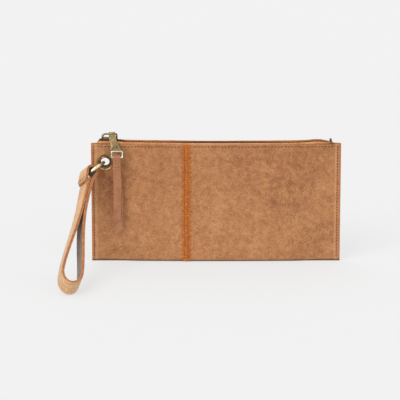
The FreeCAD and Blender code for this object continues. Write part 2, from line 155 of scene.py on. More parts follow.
class WalletColours(bpy.types.PropertyGroup):
    hide: colour_property("Hide", "Main colour of the brushed panel leather", 177, 120, 75)
    # hide_dark also paints the shadow below the ring, eyelet and puller
    hide_dark: colour_property("Hide, dark", "Rubbed, darker patches of the panels", 138, 84, 49)
    hide_light: colour_property("Hide, light", "Pale, brushed patches of the panels", 206, 154, 106)
    seam_strip: colour_property("Seam strip", "Colour of the pinked strip", 176, 94, 26)
    facing: colour_property("Facing", "Colour of the smooth leather beside the zip", 214, 152, 94)
    tab: colour_property("Tab", "Colour of the puller's leather tab", 168, 114, 82)
    strap: colour_property("Strap", "Colour of the strap's outer leather", 214, 170, 124)
    strap_inside: colour_property("Strap inside", "Colour of the strap's inner layer", 156, 136, 116)
    painted_edge: colour_property("Painted edge", "Colour of the strap's painted edges", 164, 100, 54)
    thread: colour_property("Thread", "Colour of the sewing thread", 84, 48, 30)
    cotton: colour_property("Cotton", "Colour of the lining and pockets", 166, 142, 112)
    zip_tape: colour_property("Zip tape", "Colour of the zip's tape", 96, 58, 32)
    antique_brass: colour_property("Antique brass", "Colour of the slider, puller and teeth", 164, 142, 100)
    bright_brass: colour_property("Bright brass", "Colour of the ring and eyelet", 232, 220, 188)
    floor: colour_property("Floor", "Colour of the studio floor", 120, 120, 120)


# ---------------------------------------------------------------- shader nodes

def node(tree, kind, inputs=None, **settings):
    """A new shader node with its settings and its inputs, which are values or other nodes' outputs."""
    made = tree.nodes.new("ShaderNode" + kind)
    for key, value in settings.items():
        setattr(made, key, value)
    for key, value in (inputs or {}).items():
        if isinstance(value, bpy.types.NodeSocket):
            tree.links.new(value, made.inputs[key])
        else:
            made.inputs[key].default_value = value
    return made


def calc(tree, operation, a, b=0.0, c=0.0, clamp=False):
    return node(tree, "Math", {0: a, 1: b, 2: c}, operation=operation, use_clamp=clamp).outputs[0]


def spread(tree, value, low, high, to_low=0.0, to_high=1.0):
    """value rescaled smoothly from low..high to to_low..to_high, and held there outside it."""
    return node(tree, "MapRange", {"Value": value, "From Min": low, "From Max": high, "To Min": to_low,
                                   "To Max": to_high}, interpolation_type="SMOOTHSTEP").outputs["Result"]


def blend_colours(tree, share, a, b, how="MIX"):
    made = node(tree, "Mix", data_type="RGBA", blend_type=how, clamp_factor=True)
    for index, value in ((0, share), (6, a), (7, b)):
        if isinstance(value, bpy.types.NodeSocket):
            tree.links.new(value, made.inputs[index])
        else:
            made.inputs[index].default_value = value if index == 0 else (*value[:3], 1.0)
    return made.outputs[2]


def tint(tree, colour, mask, share, towards):
    """The colour, taken towards another where the mask is, by this share at the most."""
    return blend_colours(tree, calc(tree, "MULTIPLY", mask, share), colour, towards)


def noise(tree, place, scale, detail=3.0, rough=0.55, distortion=0.0):
    return node(tree, "TexNoise", {"Vector": place, "Scale": scale, "Detail": detail, "Roughness": rough,
                                   "Distortion": distortion}).outputs["Fac"]


def stretched(tree, place, x, y, z):
    """A place scaled by its own amount along each axis."""
    return node(tree, "VectorMath", {0: place, 1: (x, y, z)}, operation="MULTIPLY").outputs[0]


def start_group(name, inputs, outputs):
    """A new shader node group with named sockets; returns it with its input and output nodes."""
    group = bpy.data.node_groups.new(name, "ShaderNodeTree")
    kinds = {"vector": "NodeSocketVector", "value": "NodeSocketFloat", "colour": "NodeSocketColor"}
    for socket, kind in inputs:
        group.interface.new_socket(name=socket, in_out="INPUT", socket_type=kinds[kind])
    for socket, kind in outputs:
        group.interface.new_socket(name=socket, in_out="OUTPUT", socket_type=kinds[kind])
    return group, group.nodes.new("NodeGroupInput"), group.nodes.new("NodeGroupOutput")


@functools.cache
def hide_mottle_group():
    """Pale and dark clouds of a brushed, waxed hide."""
    group, given, result = start_group(
        "Hide mottle", [("Place", "vector"), ("Main", "colour"), ("Dark", "colour"), ("Light", "colour"),
               ("Dark amount", "value"), ("Light amount", "value")], [("Colour", "colour")])
    place = stretched(group, given.outputs["Place"], 1000, 1000, 1000)
    cloud = noise(group, place, 0.035, 4, 0.6, 0.6)
    patch = noise(group, stretched(group, place, 1.0, 1.0, 0.8), 0.11, 5, 0.65, 0.9)
    fleck = noise(group, place, 0.42, 4, 0.7, 0.4)
    dark = calc(group, "ADD", calc(group, "MULTIPLY", cloud, 0.5), calc(group, "MULTIPLY", patch, 0.5))
    dark = spread(group, calc(group, "ADD", dark, calc(group, "MULTIPLY", fleck, 0.25)), 0.45, 0.74)
    dark = calc(group, "MULTIPLY", dark, given.outputs["Dark amount"], clamp=True)
    away = node(group, "VectorMath", {0: place, 1: (31.0, 7.0, -53.0)}, operation="ADD").outputs[0]
    wide, fine = noise(group, away, 0.05, 4, 0.6, 0.5), noise(group, away, 0.3, 4, 0.7)
    pale = calc(group, "ADD", calc(group, "MULTIPLY", wide, 0.6), calc(group, "MULTIPLY", fine, 0.4))
    pale = spread(group, pale, 0.46, 0.70)
    pale = calc(group, "MULTIPLY", pale, given.outputs["Light amount"], clamp=True)
    colour = blend_colours(group, pale, given.outputs["Main"], given.outputs["Light"])
    colour = blend_colours(group, dark, colour, given.outputs["Dark"])
    group.links.new(colour, result.inputs["Colour"])
    return group


@functools.cache
def hide_grain_group():
    """Crackle, pores and fine nap of leather: a height, and a mask of the creases."""
    group, given, result = start_group("Hide grain", [("Place", "vector"), ("Cell", "value")],
                                       [("Height", "value"), ("Creases", "value")])
    per_cell = calc(group, "DIVIDE", 1000.0, given.outputs["Cell"])
    place = node(group, "VectorMath", {0: given.outputs["Place"], "Scale": per_cell},
                 operation="SCALE").outputs[0]
    warp = node(group, "TexNoise", {"Vector": place, "Scale": 0.7, "Detail": 3.0}).outputs["Color"]
    bent = node(group, "VectorMath", {0: warp, 1: (0.9, 0.9, 0.9), 2: place},
                operation="MULTIPLY_ADD").outputs[0]
    edges = [node(group, "TexVoronoi", {"Vector": bent, "Scale": s, "Randomness": 1.0},
                  feature="DISTANCE_TO_EDGE").outputs["Distance"] for s in (1.0, 2.7)]
    wide = spread(group, edges[0], 0.0, 0.13, 1.0, 0.0)
    fine = spread(group, edges[1], 0.0, 0.16, 1.0, 0.0)
    broken = spread(group, noise(group, place, 0.55, 3), 0.38, 0.62)
    lines = calc(group, "MAXIMUM", wide, calc(group, "MULTIPLY", fine, 0.55))
    creases = calc(group, "MULTIPLY", lines, broken, clamp=True)
    nap = noise(group, place, 5.5, 3, 0.7)
    pores = noise(group, place, 1.6, 4, 0.6)
    height = calc(group, "ADD", calc(group, "MULTIPLY", nap, 0.22), calc(group, "MULTIPLY", pores, 0.5))
    height = calc(group, "SUBTRACT", height, calc(group, "MULTIPLY", creases, 0.45))
    group.links.new(height, result.inputs["Height"])
    group.links.new(creases, result.inputs["Creases"])
    return group


@functools.cache
def patina_group():
    """Tarnish of old brass: a mask of dark oxide, a mask of rubbed bare metal, and a height."""
    group, given, result = start_group("Brass patina", [("Place", "vector"), ("Age", "value")],
                                       [("Tarnish", "value"), ("Rubbed", "value"), ("Height", "value")])
    place = stretched(group, given.outputs["Place"], 1000, 1000, 1000)
    blotch = noise(group, place, 0.42, 5, 0.65, 0.8)
    speck = noise(group, place, 2.4, 4, 0.7)
    tarnish = spread(group, calc(group, "ADD", calc(group, "MULTIPLY", blotch, 0.7),
                                 calc(group, "MULTIPLY", speck, 0.3)), 0.40, 0.64)
    tarnish = calc(group, "MULTIPLY", tarnish, given.outputs["Age"], clamp=True)
    away = node(group, "VectorMath", {0: place, 1: (12.0, 5.0, 9.0)}, operation="ADD").outputs[0]
    rubbed = spread(group, noise(group, away, 0.6, 4, 0.6), 0.52, 0.70)
    group.links.new(tarnish, result.inputs["Tarnish"])
    group.links.new(rubbed, result.inputs["Rubbed"])
    group.links.new(calc(group, "ADD", calc(group, "MULTIPLY", speck, 0.5), blotch), result.inputs["Height"])
    return group


@functools.cache
def weave_group():
    """Plain weave: the height of crossing threads, and a mask of each thread's own shade."""
    group, given, result = start_group("Cloth weave", [("Place", "vector"), ("Pitch", "value")],
                                       [("Height", "value"), ("Shade", "value")])
    per_turn = calc(group, "DIVIDE", 1000.0 * math.tau, given.outputs["Pitch"])
    parts = node(group, "SeparateXYZ", {0: given.outputs["Place"]})
    along = calc(group, "SINE", calc(group, "MULTIPLY", parts.outputs[0], per_turn))
    across = calc(group, "SINE", calc(group, "MULTIPLY",
                                      calc(group, "ADD", parts.outputs[1], parts.outputs[2]), per_turn))
    over = calc(group, "MULTIPLY", along, across)
    height = calc(group, "MULTIPLY_ADD", over, 0.5, 0.5)
    slub = noise(group, stretched(group, given.outputs["Place"], 120, 2600, 2600), 1.0, 3)
    group.links.new(height, result.inputs["Height"])
    group.links.new(spread(group, slub, 0.35, 0.65), result.inputs["Shade"])
    return group


def use_group(tree, group, inputs):
    made = node(tree, "Group", node_tree=group)
    for key, value in inputs.items():
        if isinstance(value, bpy.types.NodeSocket):
            tree.links.new(value, made.inputs[key])
        else:
            made.inputs[key].default_value = (*value[:3], 1.0) if hasattr(value, "__len__") else value
    return made.outputs


def start_material(name, **constants):
    """A new material with its Principled BSDF; constants are set on the shader's own sockets."""
    material = bpy.data.materials.new(name)
    material.use_nodes = True
    tree = material.node_tree
    shader = tree.nodes["Principled BSDF"]
    for key, value in constants.items():
        shader.inputs[key.replace("_", " ")].default_value = value
    return material, tree, shader


def finished(made, colour, rough, height, depth, strength=1.0):
    """Wires a material's colour, roughness and bump, whose depth is in millimetres, and returns it."""
    material, tree, shader = made
    bump = node(tree, "Bump", {"Height": height, "Distance": depth * MM, "Strength": strength})
    for output, socket in ((colour, "Base Color"), (rough, "Roughness"), (bump.outputs["Normal"], "Normal")):
        tree.links.new(output, shader.inputs[socket])
    return material


def here(tree):
    """The place on the object, in metres."""
    return node(tree, "TexCoord").outputs["Object"]


def soft_spot(tree, place, x, z, radius):
    """1 at a point of the panel's front, falling to 0 at a distance in millimetres."""
    flat = stretched(tree, place, 1.0, 0.25, 1.0)
    gap = node(tree, "VectorMath", {0: flat, 1: (x * MM, 0.0, z * MM)}, operation="DISTANCE")
    return spread(tree, gap.outputs["Value"], 0.0, radius * MM, 1.0, 0.0)


def panel_leather():
    """Brushed, waxed hide with dark rubbed patches, painted shadow below the ring, eyelet and puller, a
    painted highlight near each end, painted shade under the fold, pale margins and fine crackle.
    """
    colours = bpy.context.scene.wallet_colours
    made = _, tree, _ = start_material("Brushed panel leather", Specular_IOR_Level=0.28,
                                            Sheen_Weight=0.12, Sheen_Roughness=0.5)
    place = here(tree)
    # the dark amount: rubbed patches, and painted shadow below the ring, eyelet and puller
    rubbed = 0.24
    for x, z, radius, amount in RUBBED_PATCHES_AND_SHADOWS:
        spot = soft_spot(tree, place, x, z, radius)
        rubbed = calc(tree, "MULTIPLY_ADD", spot, amount, rubbed)
    brushed = 0.26
    for x, z, radius, amount in PALE_PATCHES:
        spot = soft_spot(tree, place, x, z, radius)
        brushed = calc(tree, "MULTIPLY_ADD", spot, amount, brushed)
    colour = use_group(tree, hide_mottle_group(), {
        "Place": place, "Main": colours.hide, "Dark": colours.hide_dark, "Light": colours.hide_light,
        "Dark amount": rubbed, "Light amount": brushed})["Colour"]
    grain = use_group(tree, hide_grain_group(), {"Place": place, "Cell": 3.4})
    creased = calc(tree, "MULTIPLY", grain["Creases"], 0.5)
    colour = blend_colours(tree, creased, colour, linear(112, 64, 38))
    worn = use_group(tree, hide_grain_group(), {"Place": stretched(tree, place, -1.0, 1.0, 1.0), "Cell": 2.7})
    colour = tint(tree, colour, worn["Creases"], 0.45, colours.hide_light)
    speck = spread(tree, noise(tree, place, 640.0, 3, 0.6), 0.54, 0.72)
    colour = tint(tree, colour, speck, 0.5, colours.hide_light)
    away = node(tree, "VectorMath", {0: place, 1: (0.5, 0.3, 0.9)}, operation="ADD").outputs[0]
    pit = spread(tree, noise(tree, away, 560.0, 3, 0.65), 0.55, 0.72)
    colour = tint(tree, colour, pit, 0.5, linear(122, 74, 44))
    # the margins outside the stitching are handled most, and more orange
    parts = node(tree, "SeparateXYZ", {0: place})
    far = calc(tree, "ABSOLUTE", parts.outputs[0])
    margin = spread(tree, far, (SIDE_STITCH_X[0] - 0.4) * MM, (SIDE_STITCH_X[0] + 0.7) * MM)
    colour = tint(tree, colour, margin, 0.55, linear(178, 112, 66))
    # a lighter band near each end, where the panel bulges: a painted highlight
    ridge = calc(tree, "MULTIPLY", spread(tree, far, 113.2 * MM, 115.0 * MM),
                 spread(tree, far, 117.4 * MM, 116.2 * MM))
    colour = tint(tree, colour, ridge, 0.35, linear(214, 160, 116))
    # darker towards the bottom, round the fold: painted shade
    foot = spread(tree, parts.outputs[2], 3.0 * MM, 0.9 * MM)
    colour = tint(tree, colour, foot, 0.85, linear(72, 44, 30))
    return finished(made, colour,
                    spread(tree, grain["Height"], 0.2, 0.6, 0.72, 0.52), grain["Height"], 0.38, 0.8)


def plain_leather(name, colour, dark, cell=1.1, shine=0.5, depth=0.12, streaks=None, bright=None):
    """Smooth dyed leather with fine pores; streaks names the attribute that runs along a strap."""
    made = _, tree, _ = start_material(name, Specular_IOR_Level=0.4)
    place = here(tree)
    grain = use_group(tree, hide_grain_group(), {"Place": place, "Cell": cell})
    patch = spread(tree, noise(tree, place, 120.0, 4, 0.6), 0.40, 0.68)
    shade = tint(tree, colour, patch, 0.55, dark)
    height = grain["Height"]
    # pale spots towards bright: worn leather, and painted highlights
    if bright:
        worn = spread(tree, noise(tree, place, 420.0, 3, 0.6), 0.48, 0.66)
        shade = tint(tree, shade, worn, 0.8, bright)
    if streaks:
        run = node(tree, "Attribute", attribute_name=streaks).outputs["Vector"]
        lines = noise(tree, stretched(tree, run, 26.0, 900.0, 900.0), 1.0, 5, 0.62, 0.3)
        shade = tint(tree, shade, spread(tree, lines, 0.44, 0.66), 0.7, dark)
        pale = noise(tree, stretched(tree, run, 18.0, 1500.0, 1500.0), 1.0, 4, 0.6)
        shade = tint(tree, shade, spread(tree, pale, 0.52, 0.7), 0.5,
                     tuple(min(1.0, 1.25 * c) for c in colour[:3]))
        height = calc(tree, "ADD", height, calc(tree, "MULTIPLY", lines, 0.8))
    shade = tint(tree, shade, grain["Creases"], 0.25, dark)
    return finished(made, shade,
                    spread(tree, height, 0.1, 0.9, shine + 0.14, shine - 0.06), height, depth, 0.8)


def fibrous(name, specular, scale, first, second, rough, depth, low=0.3, fine=(4, 0.7), squeeze=1.0):
    """Edge paint, burnished cut fibres or pressed board: two shades mixed by one fine grain."""
    made = _, tree, _ = start_material(name, Specular_IOR_Level=specular)
    fibre = noise(tree, stretched(tree, here(tree), 1.0, squeeze, 1.0), scale, *fine)
    shade = blend_colours(tree, spread(tree, fibre, low, 0.7), first, second)
    return finished(made, shade, spread(tree, fibre, 0.3, 0.7, *rough), fibre, depth)


def brass(name, colour, dark, age, shine, depth=0.03):
    """Brass with blotches of tarnish; age runs from 0, polished, to 1, dark."""
    made = _, tree, _ = start_material(name, Metallic=1.0)
    patina = use_group(tree, patina_group(), {"Place": here(tree), "Age": age})
    shade = blend_colours(tree, patina["Tarnish"], colour, dark)
    bare = calc(tree, "MULTIPLY", patina["Rubbed"], 0.45)
    shade = blend_colours(tree, bare, shade, tuple(min(1.0, 1.3 * c) for c in colour[:3]))
    return finished(made, shade,
                    calc(tree, "MULTIPLY_ADD", patina["Tarnish"], 0.22, shine), patina["Height"], depth)


def cloth(name, colour, pitch, depth=0.08, turn=False):
    """Woven cotton or zip tape."""
    made = _, tree, _ = start_material(name, Specular_IOR_Level=0.2, Sheen_Weight=0.25,
                                            Sheen_Roughness=0.4)
    weave = use_group(tree, weave_group(), {"Place": here(tree), "Pitch": pitch})
    dark = tuple(0.6 * c for c in colour[:3])
    shade = tint(tree, colour, weave["Shade"], 0.5, dark)
    # darker where the weave is low, between the threads: painted shade
    shade = blend_colours(tree, spread(tree, weave["Height"], 0.45, 0.0, 0.0, 0.6), shade, dark)
    return finished(made, shade,
                    spread(tree, weave["Height"], 0.0, 1.0, 0.95, 0.8), weave["Height"], depth)


def thread(name, colour):
    """Waxed, twisted sewing thread."""
    made = _, tree, _ = start_material(name, Specular_IOR_Level=0.35)
    place = here(tree)
    twist = node(tree, "TexWave", {"Vector": place, "Scale": 420.0, "Distortion": 1.5},
                 bands_direction="DIAGONAL").outputs["Fac"]
    shade = blend_colours(tree, twist, colour, linear(132, 84, 52))
    return finished(made, shade,
                    spread(tree, twist, 0.0, 1.0, 0.6, 0.8), twist, 0.06)


def studio_floor():
    """Pale matt studio floor that glows a little, as if lit from all sides."""
    colour = bpy.context.scene.wallet_colours.floor
    material, tree, shader = start_material("Studio floor", Specular_IOR_Level=0.05)
    grain = noise(tree, here(tree), 60.0, 3)
    shade = blend_colours(tree, spread(tree, grain, 0.3, 0.7, 0.0, 0.03), colour, linear(150, 150, 150))
    tree.links.new(shade, shader.inputs["Base Color"])
    tree.links.new(spread(tree, grain, 0.3, 0.7, 0.9, 0.96), shader.inputs["Roughness"])
    shader.inputs["Emission Color"].default_value = (1.0, 1.0, 1.0, 1.0)
    shader.inputs["Emission Strength"].default_value = FLOOR_GLOW
    return material


@functools.cache
def material(word):
    """The material of that name, made the first time it is asked for."""
    colours = bpy.context.scene.wallet_colours
    makers = {
        "panel": panel_leather,
        "raw_edge": lambda: fibrous("Burnished cut edge", 0.4, 700.0, linear(196, 138, 88),
                                    linear(138, 84, 48), (0.5, 0.7), 0.15, squeeze=3.0),
        "strip": lambda: plain_leather("Seam strip leather", colours.seam_strip, linear(140, 70, 20), 1.6,
                                       0.52, 0.16, bright=linear(204, 128, 36)),
        "facing": lambda: plain_leather("Smooth facing leather", colours.facing, linear(176, 104, 56), 1.2,
                                        0.42, 0.08),
        "tab": lambda: plain_leather("Tab leather", colours.tab, linear(136, 84, 56), 1.5, 0.55, 0.15),
        "strap": lambda: plain_leather("Strap leather", colours.strap, linear(178, 130, 86), 1.3, 0.44,
                                       0.1, "run", bright=linear(228, 194, 154)),
        "strap_inside": lambda: plain_leather("Strap inner leather", colours.strap_inside,
                                              linear(110, 92, 76), 1.3, 0.6, 0.12, "run"),
        "painted_edge": lambda: fibrous("Painted edge", 0.5, 380.0, colours.painted_edge,
                                        linear(186, 126, 80), (0.3, 0.46), 0.12, 0.35, (4, 0.6)),
        "antique": lambda: brass("Antique brass", colours.antique_brass, linear(70, 56, 40), 0.85, 0.28),
        "dark_brass": lambda: brass("Dark brass", linear(120, 98, 66), linear(42, 32, 24), 1.0, 0.26),
        "eyelet": lambda: brass("Worn eyelet brass", linear(190, 168, 120), linear(92, 72, 48), 0.7,
                                0.22, 0.02),
        # near-white rubbed brass: a painted highlight on the slot's bead
        "rubbed": lambda: brass("Rubbed brass, painted highlight", linear(250, 246, 232), linear(150, 136, 108), 0.55,
                                0.10, 0.012),
        # the teeth: tarnished brass, darkened further as painted shade in the zip's mouth
        "teeth": lambda: brass("Brown zip brass", linear(116, 76, 46), linear(46, 28, 18), 0.9, 0.4),
        # the dish: tarnish, with painted shade and a painted reflection of the leather
        "dish": lambda: brass("Tarnished dish, painted shade and reflection", linear(150, 104, 66), linear(70, 44, 28), 0.8, 0.22, 0.02),
        "barrel": lambda: brass("Barrel in shade", linear(60, 46, 34), linear(20, 14, 10), 1.0, 0.3),
        "bright": lambda: brass("Polished brass", colours.bright_brass, linear(176, 152, 108), 0.3,
                                0.12, 0.012),
        "cotton": lambda: cloth("Lining cotton", colours.cotton, 0.9),
        "tape": lambda: cloth("Zip tape weave", colours.zip_tape, 0.6),
        "thread": lambda: thread("Waxed thread", colours.thread),
        "ochre_thread": lambda: thread("Ochre thread", linear(112, 58, 22)),
        "board": lambda: fibrous("Pressed board", 0.2, 500.0, linear(150, 128, 100), linear(110, 92, 72),
                                 (0.8, 0.95), 0.1, fine=(5, 0.7)),
        "floor": studio_floor,
    }
    return makers[word]()


# ---------------------------------------------------------------- meshes

def smooth_step(value):
    value = np.clip(value, 0.0, 1.0)
    return value * value * (3 - 2 * value)


def unit(vector):
    vector = np.asarray(vector, float)
    return vector / np.linalg.norm(vector, axis=-1, keepdims=True)


def ripple(x, z):
    """The slight unevenness of a hand-made, stiffened wall; nothing near its edges."""
    waves = (0.20 * np.sin(x / 19.0 + 0.8) * np.sin(z / 24.0 + 1.1) + 0.10 * np.sin(x / 8.3 + z / 13.0)
             + 0.07 * np.sin(x / 5.1 - z / 7.7 + 2.0))
    upright = smooth_step((LINING_TOP - z) / 16) * smooth_step((z - 1) / 12)
    return waves * smooth_step((WIDE_X - 4 - np.abs(x)) / 14) * upright


def half_depth(x, z):
    """Half of the pouch's outer thickness, in millimetres."""
    x = np.asarray(x, float)
    z = np.asarray(z, float)
    low = sum(np.interp(np.abs(x + d), HALF_X, HALF_DEPTH) for d in (-4, -2, 0, 2, 4)) / 5
    top = sum(np.interp(np.abs(x + d), HALF_X, HALF_DEPTH_TOP) for d in (-4, -2, 0, 2, 4)) / 5
    top = np.where(np.abs(x) > 118, np.interp(np.abs(x), HALF_X, HALF_DEPTH_TOP), top)
    share = smooth_step((z - EYELET_ZONE_TOP + 1.5) / (PANEL_HEIGHT - EYELET_ZONE_TOP + 1.5))
    return low + share * (top - low) + ripple(x, z)


def make_piece(name, points, faces, materials, body, slot, replaced=(), kinds=None, smooth=True, bevel=0.0,
               bevel_angle=50.0, squash=None):
    """A new mesh piece from points in millimetres, riding on its body and standing for its CAD nodes."""
    mesh = bpy.data.meshes.new(name)
    mesh.from_pydata((np.asarray(points, float).reshape(-1, 3) * MM).tolist(), [], [tuple(f) for f in faces])
    mesh.validate()
    for word in materials:
        mesh.materials.append(material(word))
    if kinds is not None:
        mesh.polygons.foreach_set("material_index", np.asarray(kinds, np.int32))
    mesh.polygons.foreach_set("use_smooth", np.full(len(mesh.polygons), smooth))
    if smooth:
        mesh.set_sharp_from_angle(angle=math.radians(48))
    mesh.update()
    piece = bpy.data.objects.new(name, mesh)
    bpy.context.scene.collection.objects.link(piece)
    if bevel:
        soften(piece, bevel, bevel_angle)
    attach(piece, body)
    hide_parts(*replaced)
    return piece


def soften(piece, width, angle=50.0, segments=2, weld=False):
    """Rounds the piece's sharp edges with a bevel of this width in millimetres."""
    if weld:
        piece.modifiers.new("Weld", "WELD").merge_threshold = 1e-6
    bevel = piece.modifiers.new("Rounded edges", "BEVEL")
    bevel.width = width * MM
    bevel.segments = segments
    bevel.limit_method = "ANGLE"
    bevel.angle_limit = math.radians(angle)
    bevel.harden_normals = True
    return piece


def grid_faces(rows, columns, start=0, flip=False, closed_rows=False, closed_columns=False):
    """Quads over a grid of points numbered row by row."""
    faces = []
    for i in range(rows if closed_rows else rows - 1):
        for k in range(columns if closed_columns else columns - 1):
            a = start + i * columns + k
            b = start + i * columns + (k + 1) % columns
            c = start + ((i + 1) % rows) * columns + (k + 1) % columns
            d = start + ((i + 1) % rows) * columns + k
            faces.append((a, d, c, b) if flip else (a, b, c, d))
    return faces


def slab(outer, inner):
    """Points and faces of a closed sheet between two matching grids, with which faces are its rim."""
    rows, columns = outer.shape[:2]
    count = rows * columns
    faces = grid_faces(rows, columns) + grid_faces(rows, columns, count, flip=True)
    kinds = [0] * len(faces)
    border = [(0, k) for k in range(columns)] + [(i, columns - 1) for i in range(1, rows)]
    border += [(rows - 1, k) for k in range(columns - 2, -1, -1)] + [(i, 0) for i in range(rows - 2, 0, -1)]
    ids = [i * columns + k for i, k in border]
    for a, b in zip(ids, ids[1:] + ids[:1]):
        faces.append((b, a, a + count, b + count))
        kinds.append(1)
    return np.concatenate([outer.reshape(-1, 3), inner.reshape(-1, 3)]), faces, kinds


def make_sheet(name, outer, inner, words, slot, replaced, bevel=0.0, hole=0.0):
    """A sheet between two grids, riding on the pouch, with a hole of this radius round the eyelet."""
    points, faces, kinds = slab(outer, inner)
    if hole:
        near = np.hypot(points[:, 0] - EYELET[0], points[:, 2] - EYELET[2]) < hole
        kept = [(f, k) for f, k in zip(faces, kinds) if not any(near[v] for v in f)]
        faces, kinds = [f for f, k in kept], [k for f, k in kept]
    return make_piece(name, points, faces, words, "pouch", slot, replaced, kinds, bevel=bevel)


def steps(low, high, pitch, extra=()):
    """Even steps from low to high, together with some extra places."""
    count = max(1, int(round((high - low) / pitch)))
    places = list(np.linspace(low, high, count + 1)) + [e for e in extra if low < e < high]
    kept = []
    for place in sorted(places):
        if not kept or place - kept[-1] > 0.12:
            kept.append(place)
    kept[-1] = high
    return np.array(kept)


def folded_sheet(xs, heights, outset, thickness, fold_radius):
    """Outer and inner grids of a sheet that runs down the front, under the pouch and up the back.

    outset is how far its outer face stands off the pouch's own face.
    """
    down = np.sort(heights)[::-1]
    columns = len(xs)
    base = half_depth(xs, np.zeros(columns)) + outset
    radius = np.minimum(fold_radius, base - 0.15)
    outer, inwards = [], []
    for z in down:
        if z < fold_radius + 0.3:
            continue
        outer.append(np.stack([xs, -(half_depth(xs, np.full(columns, z)) + outset), np.full(columns, z)], 1))
        inwards.append(np.tile((0.0, 1.0, 0.0), (columns, 1)))
    for degrees in (0, 18, 36, 54, 72, 90):
        a = math.radians(degrees)
        outer.append(np.stack([xs, -base + radius * (1 - math.cos(a)),
                               radius * (1 - math.sin(a)) - outset], 1))
        inwards.append(np.tile((0.0, math.cos(a), math.sin(a)), (columns, 1)))
    for share in (0.2, 0.4):
        outer.append(np.stack([xs, (-base + radius) * (1 - 2 * share), np.full(columns, -outset)], 1))
        inwards.append(np.tile((0.0, 0.0, 1.0), (columns, 1)))
    back = [row * (1, -1, 1) for row in outer[::-1]]
    turned = [row * (1, -1, 1) for row in inwards[::-1]]
    outer = np.array(outer + back)
    return outer, outer + np.array(inwards + turned) * thickness


# Stitch lines, and the dark and pale patches of the panels (x, z, radius, amount): the dark ones are rubbed
# leather, except the first three, which are painted shadow below the ring, eyelet and puller; the pale ones
# are brushed
SIDE_STITCH_X = (117.6, 116.6)       # at the eyelet's end, and at the zip's open end
TOP_STITCH_Z = 114.8
STITCH_PULL = 0.22
RUBBED_PATCHES_AND_SHADOWS = ((-99, 76, 21, 0.80), (-97, 54, 16, 0.60), (-109, 88, 14, 0.90), (-66, 90, 36, 0.45),
                (18, 106, 32, 0.50), (55, 106, 36, 0.60), (88, 97, 28, 0.55), (72, 70, 30, 0.60),
                (62, 50, 26, 0.55), (40, 78, 34, 0.30), (84, 12, 34, 0.30), (112, 30, 22, 0.30))
PALE_PATCHES = ((-4, 38, 52, 0.55), (-68, 26, 48, 0.50), (102, 70, 24, 0.50), (-117, 50, 24, 1.20),
                (-112, 22, 26, 0.70), (-104, 111, 16, 0.70), (30, 22, 40, 0.35), (10, 76, 30, 0.25),
                (-78, 108, 26, 0.25))


def groove(x, z):
    """How deep the stitches pull the leather in at a place."""
    side = np.where(np.asarray(x) < 0, SIDE_STITCH_X[0], SIDE_STITCH_X[1])
    line = np.exp(-((np.abs(x) - side) / 0.55) ** 2)
    top = np.exp(-((z - TOP_STITCH_Z) / 0.5) ** 2) * (np.abs(x) < side + 0.3)
    return STITCH_PULL * np.maximum(line, top)


def panel(name, x0, x1, replaced):
    """One leather panel, from its front top edge round the fold to its back top edge."""
    leather = bpy.context.scene.wallet_sizes.leather / MM
    near_stitch = [s * (d + o) for s, d in zip((-1, 1), SIDE_STITCH_X)
                   for o in (-1.2, -0.7, -0.35, 0, 0.35, 0.7, 1.2)]
    xs = steps(x0, x1, 1.5, near_stitch)
    zs = steps(0.0, PANEL_HEIGHT, 1.5, [TOP_STITCH_Z + o for o in (-1.1, -0.7, -0.35, 0, 0.35, 0.7, 1.1)])
    outer, inner = folded_sheet(xs, zs, 0.0, leather, FOLD_RADIUS)
    wall = outer[..., 2] > FOLD_RADIUS + 0.3
    outer[..., 1] -= groove(outer[..., 0], outer[..., 2]) * wall * np.sign(outer[..., 1])
    return make_sheet(name, outer, inner, ("panel", "raw_edge"), "panel_leather", replaced, 0.3, PANEL_HOLE)


class WALLET_OT_panels(bpy.types.Operator):
    """Build the two folded leather panels"""
    bl_idname = "wallet.panels"
    bl_label = "Leather panels"

    def execute(self, context):
        panel("panel_left", -END_X, SEAM_X - 0.02, ["leather_left"])
        panel("panel_right", SEAM_X + 0.02, END_X, ["leather_right"])
        return {"FINISHED"}


class WALLET_OT_seam_strip(bpy.types.Operator):
    """Build the pinked strip over the panels' joint"""
    bl_idname = "wallet.seam_strip"
    bl_label = "Seam strip"

    def execute(self, context):
        sizes = context.scene.wallet_sizes
        pitch, core = sizes.strip_pitch / MM, sizes.strip_core / MM / 2
        half, thickness = sizes.strip_width / MM / 2, sizes.strip_thickness / MM
        across = np.linspace(-1.0, 1.0, 13)
        zs = np.arange(0.0, PANEL_HEIGHT, pitch / 6)
        outer, inner = folded_sheet(SEAM_X + across * core, np.append(zs, PANEL_HEIGHT - 0.2), 0.05,
                                    thickness, FOLD_RADIUS)
        rise = np.cumsum(np.r_[0.0, np.linalg.norm(np.diff(outer[:, 6], axis=0), axis=1)])
        tooth = 1 - np.abs((rise / pitch) % 1.0 - 0.5) * 2
        width = core + (half - core) * tooth
        for grid in (outer, inner):
            grid[..., 0] = SEAM_X + across[None, :] * width[:, None]
        lift = thickness * (1 - 0.35 * np.abs(across) ** 4)
        rib = 0.14 * np.exp(-(np.abs(np.abs(outer[..., 0] - SEAM_X) - 1.6) / 0.5) ** 2)
        direction = unit(outer - inner)
        inner = outer.copy()
        outer = inner + direction * (lift[None, :, None] - rib[..., None])
        inner[..., 2] = np.maximum(inner[..., 2], 0.55)
        outer[..., 2] = np.maximum(outer[..., 2], 0.0)
        make_sheet("strip_pinked", outer, inner, ("strip", "strip"), "strip_leather", ["seam_strip"], 0.12)
        return {"FINISHED"}


